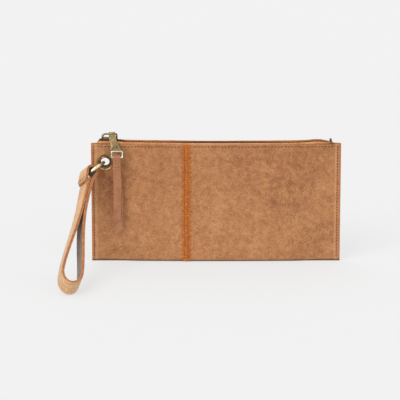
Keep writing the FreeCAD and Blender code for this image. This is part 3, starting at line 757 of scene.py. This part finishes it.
# The sagging mouth line, the drop of its left end, and the facings' lower edges at the middle and ends
MOUTH_X = (-112, -98, -87, -64, -40, -17, 6, 29, 52, 75, 87, 98, 104, 110, 113)
MOUTH_Z = (120.6, 120.2, 119.4, 118.9, 118.7, 118.3, 118.2, 118.5, 118.5, 118.8, 119.2, 120.2,
           119.4, 117.9, 117.4)
MOUTH_TURN_X, MOUTH_END_Z = -111.2, 117.5
FACING_LOW = (104.6, 113.0)


def mouth_top(x):
    """The height of the back facing's free edge: the mouth sags a little between its ends."""
    return sum(np.interp(x + d, MOUTH_X, MOUTH_Z) for d in (-3, 0, 3)) / 3


def chain_drop(x):
    """How far the zip chain hangs below the slider's level."""
    return smooth_step((x + 96.0) / 12.0) * np.clip(CHAIN_Z - (mouth_top(x) - 1.2), 0.0, 3.0)


def facing_top(x, side):
    """The height of a facing's free edge."""
    top = mouth_top(x) - (0.2 if side < 0 else 0.0)
    left = np.clip((MOUTH_TURN_X - x) / (MOUTH_TURN_X - FACING_LEFT), 0, 1) ** 1.4
    return np.maximum(top - left * (top - MOUTH_END_Z), PANEL_HEIGHT + 0.35)


class WALLET_OT_facings(bpy.types.Operator):
    """Build the smooth leather facings beside the zip"""
    bl_idname = "wallet.facings"
    bl_label = "Facings"

    def execute(self, context):
        sizes = context.scene.wallet_sizes
        leather, thickness = sizes.leather / MM, sizes.facing / MM
        xs = steps(FACING_LEFT, FACING_RIGHT, 1.6, [FACING_LEFT + 0.5, FACING_LEFT + 1.0])
        low = np.interp(np.abs(xs), (WIDE_X, 97), FACING_LOW)
        for side, word in ((-1, "front"), (1, "back")):
            top = facing_top(xs, side)
            rows = [low + (PANEL_HEIGHT - low) * share for share in (0, 0.25, 0.5, 0.75, 1.0)]
            shelf = np.minimum(FACING_SHELF, top - 0.25)
            rows += [PANEL_HEIGHT + (shelf - PANEL_HEIGHT) * share for share in (0.33, 0.66, 1.0)]
            rows += [shelf + (top - shelf) * share for share in (0.35, 0.7, 0.9, 1.0)]
            outer = []
            for z in rows:
                inside = half_depth(xs, np.minimum(z, PANEL_HEIGHT)) - leather - LAYER_GAP
                share = smooth_step((z - PANEL_HEIGHT) / (FACING_SHELF - PANEL_HEIGHT))
                rail = RAIL_INNER + thickness + 0.12 * np.sin(xs / 9.0 + side)
                end = smooth_step((np.abs(xs) - 110.5) / 3.5)
                rail = rail - end * (rail - np.minimum(rail, inside + 0.6))
                outer.append(np.stack([xs, side * (inside + share * (rail - inside)), z], 1))
            outer = np.array(outer)
            inner = outer - (0, side * thickness, 0)
            if side < 0:
                outer, inner = outer[::-1], inner[::-1]
            make_sheet("facing_smooth_" + word, outer, inner, ("facing", "facing"), "facing_leather",
                       ["facing_" + word], 0.28)
        return {"FINISHED"}


def wall_layer(name, side, x1, z0, z1, inset, thickness, word, slot, replaced, hem=0.0, hole=0.0):
    """A flat layer inside a wall; inset is how far its outer face lies inside the leather's face."""
    xs = steps(-x1, x1, 3.0)
    zs = steps(z0, z1, 3.0, [z1 - hem, z1 - hem + 0.3] if hem else ())
    grid_x, grid_z = np.meshgrid(xs, zs)
    depth = half_depth(grid_x, grid_z) - inset(grid_x)
    fold = np.where(grid_z > z1 - hem - 0.01, 0.18, 0.0) if hem else 0.0
    outer = np.stack([grid_x, side * depth, grid_z], -1)
    inner = np.stack([grid_x, side * (depth - thickness - fold), grid_z], -1)
    if side > 0:
        outer, inner = outer[::-1], inner[::-1]
    return make_sheet(name, outer, inner, (word, word), slot, [replaced], 0.06, hole)


class WALLET_OT_inside(bpy.types.Operator):
    """Build the stiffeners, lining and pockets"""
    bl_idname = "wallet.inside"
    bl_label = "Lining and pockets"

    def execute(self, context):
        leather = context.scene.wallet_sizes.leather / MM

        def board_inset(x):
            return leather + 0.03 + 0 * x

        def lining_inset(x):
            board = np.interp(np.abs(x), (0, WIDE_X, 97, END_X), (STIFFENER + LAYER_GAP,) * 2 + (0.02, 0.02))
            return leather + board

        for side, word in ((-1, "front"), (1, "back")):
            wall_layer("board_" + word, side, WIDE_X, 4.6, LINING_TOP, board_inset, STIFFENER, "board",
                       "stiffener_board", "stiffener_" + word)
            wall_layer("cotton_" + word, side, END_X - 0.4, 4.8, LINING_TOP, lining_inset, LINING, "cotton",
                       "lining_cotton", "lining_" + word, hole=LINING_HOLE)
        wall_layer("pocket_slip", -1, WIDE_X, 6.0, 72.0, lambda x: lining_inset(x) + LINING + LAYER_GAP,
                   POCKET_LAYER, "cotton", "lining_cotton", "slip_pocket", hem=5.0)
        for tier in range(3):
            offset = LINING + LAYER_GAP + tier * (POCKET_LAYER + 0.05)
            wall_layer("pocket_card_%d" % (tier + 1), 1, WIDE_X, 24.0, 94.0 - 9.0 * tier,
                       lambda x, o=offset: lining_inset(x) + o, POCKET_LAYER - 0.02, "cotton",
                       "lining_cotton", "card_tier_%d" % (tier + 1))
        return {"FINISHED"}


def capsules(segments, radius, sink=0.35):
    """Points and faces of stitches: each (start, end, outward) becomes a short bulging length of thread."""
    around, rings = 8, 7
    points, faces = [], []
    for start, end, outward in segments:
        start, end, outward = np.asarray(start), np.asarray(end), unit(outward)
        along = unit(end - start)
        sideways = np.cross(along, outward)
        first = len(points)
        for i in range(rings):
            t = i / (rings - 1)
            swell = math.sin(math.pi * (0.04 + 0.92 * t)) ** 0.6
            centre = start + (end - start) * t + outward * radius * (swell * 0.9 - sink)
            for k in range(around):
                a = math.tau * k / around
                bulge = outward * math.sin(a) * 0.8 + sideways * math.cos(a)
                points.append(centre + radius * swell * bulge)
        faces += grid_faces(rings, around, first, closed_columns=True, flip=True)
        faces.append(tuple(first + k for k in range(around)))
        faces.append(tuple(first + (rings - 1) * around + k for k in reversed(range(around))))
    return np.array(points), faces


def stitch(x0, z0, x1, z1, side, proud=0.0):
    """One stitch on a wall: where its thread goes in, where it comes out, and which way is outwards."""
    ends = [np.array((x, side * (half_depth(x, z) - groove(x, z) + proud), z), float)
            for x, z in ((x0, z0), (x1, z1))]
    return *ends, (0, side, 0)


class WALLET_OT_stitching(bpy.types.Operator):
    """Sew the mouth, the side seams and the seam strip"""
    bl_idname = "wallet.stitching"
    bl_label = "Stitching"

    def execute(self, context):
        sizes = context.scene.wallet_sizes
        top, side_length = sizes.top_stitch / MM, sizes.side_stitch / MM
        pitch, proud = sizes.strip_pitch / MM / 2, sizes.strip_thickness / MM - 0.1
        rng = np.random.default_rng(7)
        mouth, sides, strip = [], [], []
        for side in (-1, 1):
            left, right = -SIDE_STITCH_X[0] + 3.4, SIDE_STITCH_X[1] - 3.0
            for i in range(int((right - left) / top)):
                x = left + i * top
                if abs(x + top / 2 - SEAM_X) >= 6.0:
                    a, b = rng.normal(0, 0.07, 2)
                    mouth.append(stitch(x + 0.35, TOP_STITCH_Z + a, x + top - 0.45, TOP_STITCH_Z + b, side))
            for x in (-SIDE_STITCH_X[0], SIDE_STITCH_X[1]):
                for i in range(int((PANEL_HEIGHT - 4.0) / side_length)):
                    z = PANEL_HEIGHT - 1.6 - (i + 1) * side_length
                    a, b = rng.normal(0, 0.06, 2)
                    sides.append(stitch(x + a, z + 0.3, x + b, z + side_length - 0.35, side))
            for x in (SEAM_X - 1.7, SEAM_X + 1.5):
                for i in range(int((PANEL_HEIGHT - 5.0) / pitch)):
                    z = PANEL_HEIGHT - 2.0 - (i + 1) * pitch
                    strip.append(stitch(x, z + 0.3, x, z + pitch - 0.4, side, proud))
        for name, rows, radius, word, slot in (
                ("thread_mouth", mouth, 0.42, "thread", "panel_leather"),
                ("thread_sides", sides, 0.42, "thread", "panel_leather"),
                ("thread_strip", strip, 0.38, "ochre_thread", "strip_leather")):
            make_piece(name, *capsules(rows, radius), (word,), "pouch", slot)
        return {"FINISHED"}


class WALLET_OT_zip(bpy.types.Operator):
    """Build the zip's tapes, teeth and stops"""
    bl_idname = "wallet.zip"
    bl_label = "Zip"

    def execute(self, context):
        xs = steps(-FACING_HALF_LENGTH + 0.2, FACING_HALF_LENGTH - 0.2, 2.0)
        tape_top = ((0.02, CHAIN_Z - 1.55), (0.02, CHAIN_Z - 0.75), (0.03, CHAIN_Z - 0.35),
                    (0.30, CHAIN_Z - 0.05), (0.8, CHAIN_Z + 0.1),
                    (RAIL_INNER - CHAIN_HALF_WIDTH - 0.2, CHAIN_Z + 0.12),
                    (RAIL_INNER - CHAIN_HALF_WIDTH + 0.25, CHAIN_Z + 0.15))
        section = [(RAIL_INNER - gap, z) for gap, z in tape_top]
        for side, word in ((-1, "front"), (1, "back")):
            outer = np.array([[(x, side * y, max(z - chain_drop(x), 117.4 + 0.1 * i)) for x in xs]
                              for i, (y, z) in enumerate(section)])
            thin = np.array([(0, -0.26 * side, 0)] * 2 + [(0, -0.2 * side, -0.12)] + [(0, -0.12 * side, -0.2)]
                            + [(0, 0, -0.28)] * 3)
            inner = outer + thin[:, None, :]
            if side > 0:
                outer, inner = outer[:, ::-1], inner[:, ::-1]
            tape = make_sheet("tape_" + word, outer, inner, ("tape", "tape"), "zip_tape",
                              ["zip_tape_" + word])
            teeth = make_piece("teeth_" + word, *self.teeth(side), ("teeth",), "pouch", "antique_brass",
                               ["zip_teeth_" + word], smooth=False)
            for piece in (tape, teeth):
                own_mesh(piece)
        for name in ("zip_top_stops", "zip_bottom_stop"):
            finish_cad(name, "dark_brass", 0.3)
        return {"FINISHED"}

    def teeth(self, side):
        """One row of teeth, each a waisted block with a rounded head."""
        outline = ((2.9, 0.55), (1.3, 0.50), (0.6, 0.34), (0.2, 0.38), (-0.15, 0.52), (-0.55, 0.50),
                   (-0.8, 0.28))
        half = outline + tuple((y, -w) for y, w in reversed(outline))
        start = CHAIN_START + (TOOTH_PITCH / 2 if side > 0 else 0)
        count = int((CHAIN_END - start) / TOOTH_PITCH) + 1
        points, faces = [], []
        for i in range(count):
            x = start + i * TOOTH_PITCH
            first = len(points)
            for z, shrink in ((-0.7, 0.78), (-0.55, 1.0), (0.55, 1.0), (0.7, 0.78)):
                for y, w in half:
                    points.append((x + w * shrink, side * (1.05 + (y - 1.05) * (0.9 + 0.1 * shrink)),
                                   CHAIN_Z - chain_drop(x) + z))
            size = len(half)
            faces += grid_faces(4, size, first, closed_columns=True, flip=side < 0)
            ends = [tuple(range(first, first + size)),
                    tuple(reversed(range(first + 3 * size, first + 4 * size)))]
            faces += ends if side < 0 else [end[::-1] for end in ends]
        return points, faces


def finish_cad(name, word, bevel, angle=30.0, segments=3):
    """Gives a CAD node its finish and rounds its sharp edges."""
    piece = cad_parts[name]
    if not piece.material_slots:
        piece.data.materials.append(None)
    for slot in piece.material_slots:
        slot.material = material(word)
    soften(piece, bevel, angle, segments, weld=True)


class WALLET_OT_slider(bpy.types.Operator):
    """Finish the slider and its bail"""
    bl_idname = "wallet.slider"
    bl_label = "Slider"

    def execute(self, context):
        finish_cad("slider_body", "dark_brass", 0.4)
        finish_cad("slider_bail", "antique", 0.1, 60.0)
        return {"FINISHED"}


def lean(degrees):
    return np.array((0.0, -math.sin(math.radians(degrees)), -math.cos(math.radians(degrees))))


def puller_bend():
    return np.array((PULLER_X, 0.0, BAIL_TOP)) + lean(NECK_LEAN) * NECK_LENGTH


def tab_pivot():
    return puller_bend() + lean(BLADE_LEAN) * (SLOT_END + BLADE_LENGTH) / 2 + np.array((BLADE_SHIFT, 0, 0))


def swept(rows, section):
    """Points and faces of a closed section carried round a closed path of frames (origin, u, v)."""
    points = np.array([[origin + u * a + v * b for a, b in section] for origin, u, v in rows])
    faces = grid_faces(*points.shape[:2], closed_rows=True, closed_columns=True)
    return points.reshape(-1, 3), faces


def rounded_section(low, high, half_width, radius, spans=8):
    """A closed section from low to high in thickness, with rounded edges; and which of its sides are edge."""
    reach = half_width - radius
    section = []
    for face, sign, turns in ((low, 1, (150, 120, 90, 60, 30, 0)),
                              (high, -1, (-30, -60, -90, -120, -150, -180))):
        section += [(face, sign * w) for w in np.linspace(-reach, reach, spans + 1)[0 if sign > 0 else 1:]]
        for i, degrees in enumerate(turns):
            centre = low + radius if (i < 3) == (sign > 0) else high - radius
            a = math.radians(degrees)
            section.append((centre + radius * math.cos(a), sign * reach + radius * math.sin(a)))
    section = section[:-1]
    following = section[1:] + section[:1]
    return section, [abs(a[1] + b[1]) / 2 > reach - 1e-6 for a, b in zip(section, following)]


def band_faces(count, edge):
    """Faces of a closed band of count sections, and which of them are its edges."""
    around = len(edge)
    faces = grid_faces(count, around, closed_columns=True)
    kinds = [int(edge[i % around]) for i in range(len(faces))] + [1, 1]
    ends = [tuple(reversed(range(around))), tuple((count - 1) * around + k for k in range(around))]
    return faces + ends, kinds


class WALLET_OT_puller(bpy.types.Operator):
    """Finish the puller, and build its slot rim and leather tab"""
    bl_idname = "wallet.puller"
    bl_label = "Puller and tab"

    def execute(self, context):
        finish_cad("puller_plate", "antique", 0.35, 25.0)
        self.slot_rim()
        self.tab(context)
        return {"FINISHED"}

    def slot_rim(self):
        """The raised bead round the puller's slot: rubbed brass, near-white with a painted highlight."""
        down = lean(BLADE_LEAN)
        side = np.array((1.0, 0.0, 0.0))
        out = unit(np.cross(side, down)) * -1
        centre = puller_bend() + side * BLADE_SHIFT + down * (SLOT_START + SLOT_END) / 2
        half_x, half_y, corner = SLOT_HALF + 0.75, (SLOT_END - SLOT_START) / 2 + 0.75, 1.0
        path = []
        for cx, cy, start in ((1, -1, -90), (1, 1, 0), (-1, 1, 90), (-1, -1, 180)):
            for step in range(5):
                a = math.radians(start + 22.5 * step)
                path.append((cx * (half_x - corner) + corner * math.cos(a),
                             cy * (half_y - corner) + corner * math.sin(a)))
        rows = []
        for i, (a, b) in enumerate(path):
            before, after = path[i - 1], path[(i + 1) % len(path)]
            run = unit((after[0] - before[0], after[1] - before[1]))
            outwards = side * run[1] - down * run[0]
            rows.append((centre + side * a + down * b, outwards, out))
        section = [(0.78 * math.cos(t), 1.15 * math.sin(t)) for t in np.linspace(0, math.tau, 13)[:-1]]
        make_piece("puller_slot_rim", *swept(rows, section), ("rubbed",), "puller", "antique_brass")

    def tab(self, context):
        """Strip of leather looped round the puller's bar, its two layers sewn together."""
        sizes = context.scene.wallet_sizes
        width, thickness = sizes.tab_width / MM, sizes.tab_thickness / MM
        pivot = tab_pivot()
        wide, near = TAB_EYE + thickness / 2, 0.04 + thickness / 2
        join = pivot[2] - TAB_JOIN_DROP
        line = []
        for end, side in ((TAB_BACK_END, 1), (TAB_FRONT_END, -1)):
            leg = [(side * near, z) for z in np.linspace(end, join - 1.5, 24)]
            for share in np.linspace(0.12, 0.94, 8):
                y = near + (wide - near) * smooth_step(share)
                leg.append((side * y, join + (pivot[2] - join) * share))
            line.append(leg)
        arc = [(wide * math.cos(a), pivot[2] + wide * math.sin(a)) for a in np.linspace(0, math.pi, 13)]
        path = line[0] + arc + line[1][::-1]
        section, edge = rounded_section(-thickness / 2, thickness / 2, width / 2, 0.38, 8)
        total, points = len(path), []
        for i, (y, z) in enumerate(path):
            before, after = path[max(0, i - 1)], path[min(total - 1, i + 1)]
            run = unit((after[0] - before[0], after[1] - before[1]))
            normal = np.array((0.0, run[1], -run[0]))
            back = i < total / 2
            end = TAB_BACK_END if back else TAB_FRONT_END
            low = smooth_step(1 - (z - end) / 9.0)
            shift = 1.5 * smooth_step((pivot[2] - z) / 55.0) if back else 0.0
            sag = 0.35 * math.sin(z / 6.0) * smooth_step((join - z) / 8)
            row = []
            for t, w in section:
                slant = TAB_SLANT * (w / width + 0.5) * low
                narrow = 1 - 0.03 * math.sin(z / 5.0)
                row.append((pivot[0] + w * narrow + shift + 0.25 * math.sin(z / 9.0),
                            pivot[1] + y + normal[1] * t + sag, z + normal[2] * t + slant))
            points.append(row)
        faces, kinds = band_faces(total, edge)
        make_piece("tab_leather", points, faces, ("tab", "raw_edge"), "tab", "tab_leather",
                   ["pull_tab"], kinds)
        rows = []
        front = pivot[1] - near - thickness / 2 + 0.02
        for drop in (2.2, 5.0):
            z = join - drop
            for x in (pivot[0] - 1.9, pivot[0] + 0.5):
                rows.append(((x, front, z), (x + 1.5, front, z), (0, -1, 0)))
        make_piece("thread_tab", *capsules(rows, 0.33), ("thread",), "tab", "tab_leather")


def turned_ring(profile, around=96):
    """Points and faces of a closed profile of (radius, y) turned round the eyelet's axis."""
    points = []
    for k in range(around):
        a = math.tau * k / around
        out = np.array((math.cos(a), 0.0, math.sin(a)))
        points += [EYELET + out * r + np.array((0.0, y, 0.0)) for r, y in profile]
    faces = grid_faces(around, len(profile), closed_rows=True, closed_columns=True, flip=True)
    return np.array(points), faces


class WALLET_OT_eyelet(bpy.types.Operator):
    """Build the rolled two-part eyelet"""
    bl_idname = "wallet.eyelet"
    bl_label = "Eyelet"

    def execute(self, context):
        face = -HALF_DEPTH[-1]
        rim = ((8.15, 0.02), (8.32, 0.3), (8.25, 0.62), (7.95, 0.88), (7.5, 0.86), (7.15, 0.55))
        dish = ((6.9, 0.3), (6.2, 0.2), (5.5, 0.24), (5.2, 0.42))
        lip = ((4.95, 0.72), (4.65, 0.9), (4.35, 0.82), (4.15, 0.5))
        front = [(r, face - h) for r, h in rim + dish + lip + ((4.1, -0.1),)]
        front += [(4.1, -face - 0.2), (4.12, -face + 0.7), (4.5, -face + 0.88), (4.8, -face + 0.6),
                  (4.78, -face + 0.1), (4.78, face + 0.03)]
        # the dish is darkened and reddened as painted shade and a painted reflection of the leather; the lip
        # round the hole takes dark brass as painted shade at the hole's edge; the barrel is painted shade
        ring_kinds = [0] * len(rim) + [1] * len(dish) + [2] * len(lip)
        size = len(front)
        ring_kinds += [3] * (size - len(ring_kinds))
        kinds = [ring_kinds[max(0, size - 2 - k)] for k in range(size)] * 96
        points, faces = turned_ring(front[::-1])
        make_piece("eyelet_rolled_face", points, faces, ("eyelet", "dish", "dark_brass", "barrel"), "pouch",
                   "bright_brass", ["eyelet_face"], kinds)
        washer = [(r, -face + h) for r, h in rim + dish if r > 4.8]
        washer += [(4.84, -face + 0.8), (4.84, -face + 0.02)]
        make_piece("eyelet_rolled_washer", *turned_ring(washer), ("eyelet",), "pouch", "bright_brass",
                   ["eyelet_washer"])
        return {"FINISHED"}


def ring_frame():
    """The ring's two directions and its centre."""
    reach, across = unit(RING_REACH), unit(RING_ACROSS)
    return reach, across, EYELET + reach * (RING_OFFSET + RING_RADIUS)


class WALLET_OT_ring(bpy.types.Operator):
    """Build the soldered wire ring"""
    bl_idname = "wallet.ring"
    bl_label = "Ring"

    def execute(self, context):
        wire = context.scene.wallet_sizes.ring_wire / MM
        reach, across, centre = ring_frame()
        normal = unit(np.cross(reach, across))
        rows = []
        for k in range(120):
            a = math.tau * k / 120
            out = reach * math.cos(a) + across * math.sin(a)
            joint = 1 + 0.05 * math.exp(-((a - 2.2) / 0.05) ** 2)
            rows.append((centre + out * RING_RADIUS, out * joint, normal * joint))
        section = [(wire * math.cos(t), wire * math.sin(t)) for t in np.linspace(0, math.tau, 25)[:-1]]
        make_piece("ring_wire", *swept(rows, section), ("bright",), "ring", "bright_brass", ["ring"])
        return {"FINISHED"}


def strap_axes(s):
    """The strap's own directions at distances s from the ring: down it, across the loop, across its band."""
    share = np.clip((s - STRAP_STRAIGHT) / (STRAP_LENGTH - STRAP_STRAIGHT), 0.0, 1.0)
    slope = np.radians(STRAP_SLOPE[0] + STRAP_SLOPE[1] * share + STRAP_SLOPE[2] * share ** 2)
    heading = np.radians(STRAP_HEADING[0] + STRAP_HEADING[1] * share
                         + STRAP_HEADING[2] * share ** 2 * (3 - 2 * share))
    roll = np.radians(STRAP_ROLL[0] + STRAP_ROLL[1] * share)
    zero = np.zeros_like(share)
    ahead = np.stack([-np.sin(heading), -np.cos(heading), zero], -1)
    up = np.stack([zero, zero, zero + 1.0], -1)
    down = ahead * np.cos(slope)[..., None] - up * np.sin(slope)[..., None]
    under = -(ahead * np.sin(slope)[..., None] + up * np.cos(slope)[..., None])
    sideways = np.cross(ahead, up)
    band = under * np.cos(roll)[..., None] + sideways * np.sin(roll)[..., None]
    return down, np.cross(down, band), band


def strap_middle(s):
    """The point between the strap's two legs at distances s from the ring."""
    reach, across, centre = ring_frame()
    a = math.radians(STRAP_CONTACT)
    start = centre + (reach * math.cos(a) + across * math.sin(a)) * (RING_RADIUS - STRAP_EYE_INSET)
    grid = np.arange(0.0, 150.0, 0.25)
    down = strap_axes(grid + 0.125)[0] * 0.25
    travelled = start + np.vstack([np.zeros(3), np.cumsum(down, axis=0)[:-1]])
    point = np.stack([np.interp(s, grid, travelled[:, k]) for k in range(3)], -1)
    first = strap_axes(np.zeros(1))[0][0]
    return np.where((s < 0)[..., None], start + first * np.minimum(s, 0.0)[..., None], point)


def strap_point(s, c, w):
    """The place at distance s from the ring, c across the loop and w across the band."""
    s, c, w = np.broadcast_arrays(np.asarray(s, float), np.asarray(c, float), np.asarray(w, float))
    _, across, band = strap_axes(s)
    return strap_middle(s) + across * c[..., None] + band * w[..., None]


def strap_outline(layer):
    """The band's middle line as (distance from the ring, across) pairs, flap first, round the loop.

    Also gives how far along the band each is, and how thin the band is pared there, from 0 to 1.
    """
    tight = STRAP_EYE + STRAP_SKIVED
    leg = layer + LEG_GAP
    flap = leg + 2 * layer + LEG_GAP
    start = [(FLAP_END, -flap), (10.0, -flap), (5.0, -flap - 0.5)]
    eye = [(-tight * math.sin(a), -tight * math.cos(a)) for a in np.radians(np.arange(-10, 181, 8))]
    throat = [(3.0, 4.6), (6.5, 3.1), (10.0, 2.0)]
    run = np.arange(15.0, 117.0, 4.0)
    right = [(s, leg + (STRAP_HALF_LOOP - leg) * smooth_step((s - LEG_SPREAD[0]) / LEG_SPREAD[1]))
             for s in run]
    nose = [(STRAP_LENGTH - STRAP_NOSE + STRAP_NOSE * math.sin(a), STRAP_HALF_LOOP * math.cos(a))
            for a in np.radians(np.arange(8, 180, 8))]
    left = [(s, -c) for s, c in reversed(right)] + [(8.0, -leg)]
    line = np.array(start + eye + throat + right + nose + left)
    gone = np.r_[0.0, np.cumsum(np.linalg.norm(np.diff(line, axis=0), axis=1))]
    even = np.linspace(0.0, gone[-1], int(gone[-1]) + 1)
    line = np.stack([np.interp(even, gone, line[:, k]) for k in (0, 1)], 1)
    for _ in range(3):
        line[1:-1] = (line[:-2] + 2 * line[1:-1] + line[2:]) / 4
    first, last = gone[len(start)], gone[len(start) + len(eye) - 1]
    pared = smooth_step((even - first + 4) / 5) * smooth_step((last + 4 - even) / 5)
    return line, even, pared


def strap_layer(name, outside, words, slot, replaced):
    """One of the strap's two layers: the outer leather, or the lining against the hand."""
    sizes = bpy.context.scene.wallet_sizes
    layer, width = sizes.strap_layer / MM, sizes.strap_width / MM
    line, gone, pared = strap_outline(layer)
    low, high = (0.02, layer) if outside else (-layer, -0.02)
    section, edge = rounded_section(low, high, width / 2 - (0.0 if outside else 0.12), 0.45, 10)
    run = np.gradient(line, axis=0)
    out = unit(np.stack([run[:, 1], -run[:, 0]], 1))
    offset = np.array([a for a, w in section])[None, :] * (1 + pared[:, None] * (STRAP_SKIVED / layer - 1))
    wide = np.array([w for a, w in section])[None, :] * (1 + pared[:, None] * (STRAP_EYE_WIDTH / width - 1))
    end_gap = np.minimum(gone, gone[-1] - gone)[:, None] if outside else np.full((len(gone), 1), 9.0)
    corner = np.clip(1 - end_gap / 3.2, 0, 1)
    wide = np.sign(wide) * np.minimum(np.abs(wide), width / 2 - 3.0 * (1 - np.sqrt(1 - corner ** 2)))
    s = line[:, :1] - out[:, :1] * offset
    c = line[:, 1:] - out[:, 1:] * offset
    faces, kinds = band_faces(len(line), edge)
    piece = make_piece(name, strap_point(s, c, wide), faces, words, "strap", slot, replaced, kinds)
    along = np.stack([np.broadcast_to(gone[:, None], s.shape), wide, offset], -1) * MM
    piece.data.attributes.new("run", "FLOAT_VECTOR", "POINT").data.foreach_set(
        "vector", along.astype(np.float32).ravel())
    return piece


class WALLET_OT_strap(bpy.types.Operator):
    """Build the wrist strap's two layers and the tacking below its eye"""
    bl_idname = "wallet.strap"
    bl_label = "Wrist strap"

    def execute(self, context):
        strap_layer("strap_outer", True, ("strap", "painted_edge"), "strap_leather", ["strap_leather"])
        strap_layer("strap_inner", False, ("strap_inside", "painted_edge"), "strap_lining", ["strap_lining"])
        layer = context.scene.wallet_sizes.strap_layer / MM
        outer_right = 2 * layer + LEG_GAP
        outer_left = -(4 * layer + 2 * LEG_GAP)
        rows = []
        for s in (9.4, 11.8):
            for w in np.arange(-5.6, 5.0, 2.6):
                for c, sign in ((outer_right, 1), (outer_left, -1)):
                    start, end = strap_point(s, c, w), strap_point(s, c, w + 2.1)
                    rows.append((start, end, strap_axes(np.array([s]))[1][0] * sign))
        make_piece("thread_strap", *capsules(rows, 0.4), ("thread",), "strap", "strap_leather")
        return {"FINISHED"}


class WALLET_OT_stage(bpy.types.Operator):
    """Set out the floor, the studio lights and the camera"""
    bl_idname = "wallet.stage"
    bl_label = "Studio"

    def execute(self, context):
        scene = context.scene
        scene.view_settings.view_transform = "Standard"
        half = 14.0
        mesh = bpy.data.meshes.new("studio_floor")
        mesh.from_pydata([(-half, -half, 0), (half, -half, 0), (half, half, 0), (-half, half, 0)], [],
                         [(0, 1, 2, 3)])
        mesh.materials.append(material("floor"))
        floor = bpy.data.objects.new("studio_floor", mesh)
        scene.collection.objects.link(floor)
        self.sky(scene)
        target = Vector((-0.0154, 0.0, 0.0606))
        self.sun("key_sun", (-0.75, -1.0, 1.05), 1.55, 38.0)
        self.sun("fill_sun", (1.2, -1.2, 0.9), 0.45, 60.0)
        self.sun("back_sun", (-0.3, 0.9, 1.6), 0.45, 50.0)
        camera = bpy.data.objects.new("camera", bpy.data.cameras.new("camera"))
        scene.collection.objects.link(camera)
        tilt, distance, field = math.radians(15.0), 2.5, 0.386
        camera.location = target + Vector((0.0, -math.cos(tilt), math.sin(tilt))) * distance
        camera.rotation_euler = (math.radians(75.0), 0.0, 0.0)
        camera.data.sensor_width = 36.0
        camera.data.lens = 36.0 * distance / field
        camera.data.clip_end = 60.0
        scene.camera = camera
        return {"FINISHED"}

    def sky(self, scene):
        """A plain white room: bright above, a little darker at the horizon."""
        world = bpy.data.worlds.new("White room")
        scene.world = world
        world.use_nodes = True
        tree = world.node_tree
        direction = node(tree, "TexCoord").outputs["Generated"]
        height = node(tree, "SeparateXYZ", {0: direction}).outputs[2]
        share = spread(tree, height, -0.1, 0.7)
        colour = blend_colours(tree, share, (0.62, 0.62, 0.63), (1.0, 1.0, 1.0))
        background = tree.nodes["Background"]
        tree.links.new(colour, background.inputs["Color"])
        background.inputs["Strength"].default_value = 0.8

    def sun(self, name, place, energy, angle):
        """A broad, soft light that comes from the direction of place."""
        light = bpy.data.lights.new(name, "SUN")
        light.energy = energy
        light.angle = math.radians(angle)
        lamp = bpy.data.objects.new(name, light)
        lamp.rotation_euler = (-Vector(place)).to_track_quat("-Z", "Y").to_euler()
        bpy.context.scene.collection.objects.link(lamp)


class WALLET_PT_parts(bpy.types.Panel):
    """The wallet's pieces, sizes and colours"""
    bl_idname = "WALLET_PT_parts"
    bl_label = "Wristlet wallet"
    bl_space_type = "VIEW_3D"
    bl_region_type = "UI"
    bl_category = "Wallet"

    def draw(self, context):
        layout = self.layout
        for maker in MAKERS:
            layout.operator(maker.bl_idname)
        for group in (context.scene.wallet_sizes, context.scene.wallet_colours):
            column = layout.column(align=True)
            for name in group.__annotations__:
                column.prop(group, name)


MAKERS = (WALLET_OT_panels, WALLET_OT_seam_strip, WALLET_OT_facings, WALLET_OT_inside,
          WALLET_OT_stitching, WALLET_OT_zip, WALLET_OT_slider, WALLET_OT_puller, WALLET_OT_eyelet,
          WALLET_OT_ring, WALLET_OT_strap, WALLET_OT_stage)
CLASSES = (WalletSizes, WalletColours) + MAKERS + (WALLET_PT_parts,)


def register():
    for made in CLASSES:
        bpy.utils.register_class(made)
    bpy.types.Scene.wallet_sizes = PointerProperty(type=WalletSizes)
    bpy.types.Scene.wallet_colours = PointerProperty(type=WalletColours)


def unregister():
    del bpy.types.Scene.wallet_colours
    del bpy.types.Scene.wallet_sizes
    for made in reversed(CLASSES):
        bpy.utils.unregister_class(made)


def main():
    register()
    for maker in MAKERS:
        group, name = maker.bl_idname.split(".")
        getattr(getattr(bpy.ops, group), name)()


if __name__ == "__main__":
    main()
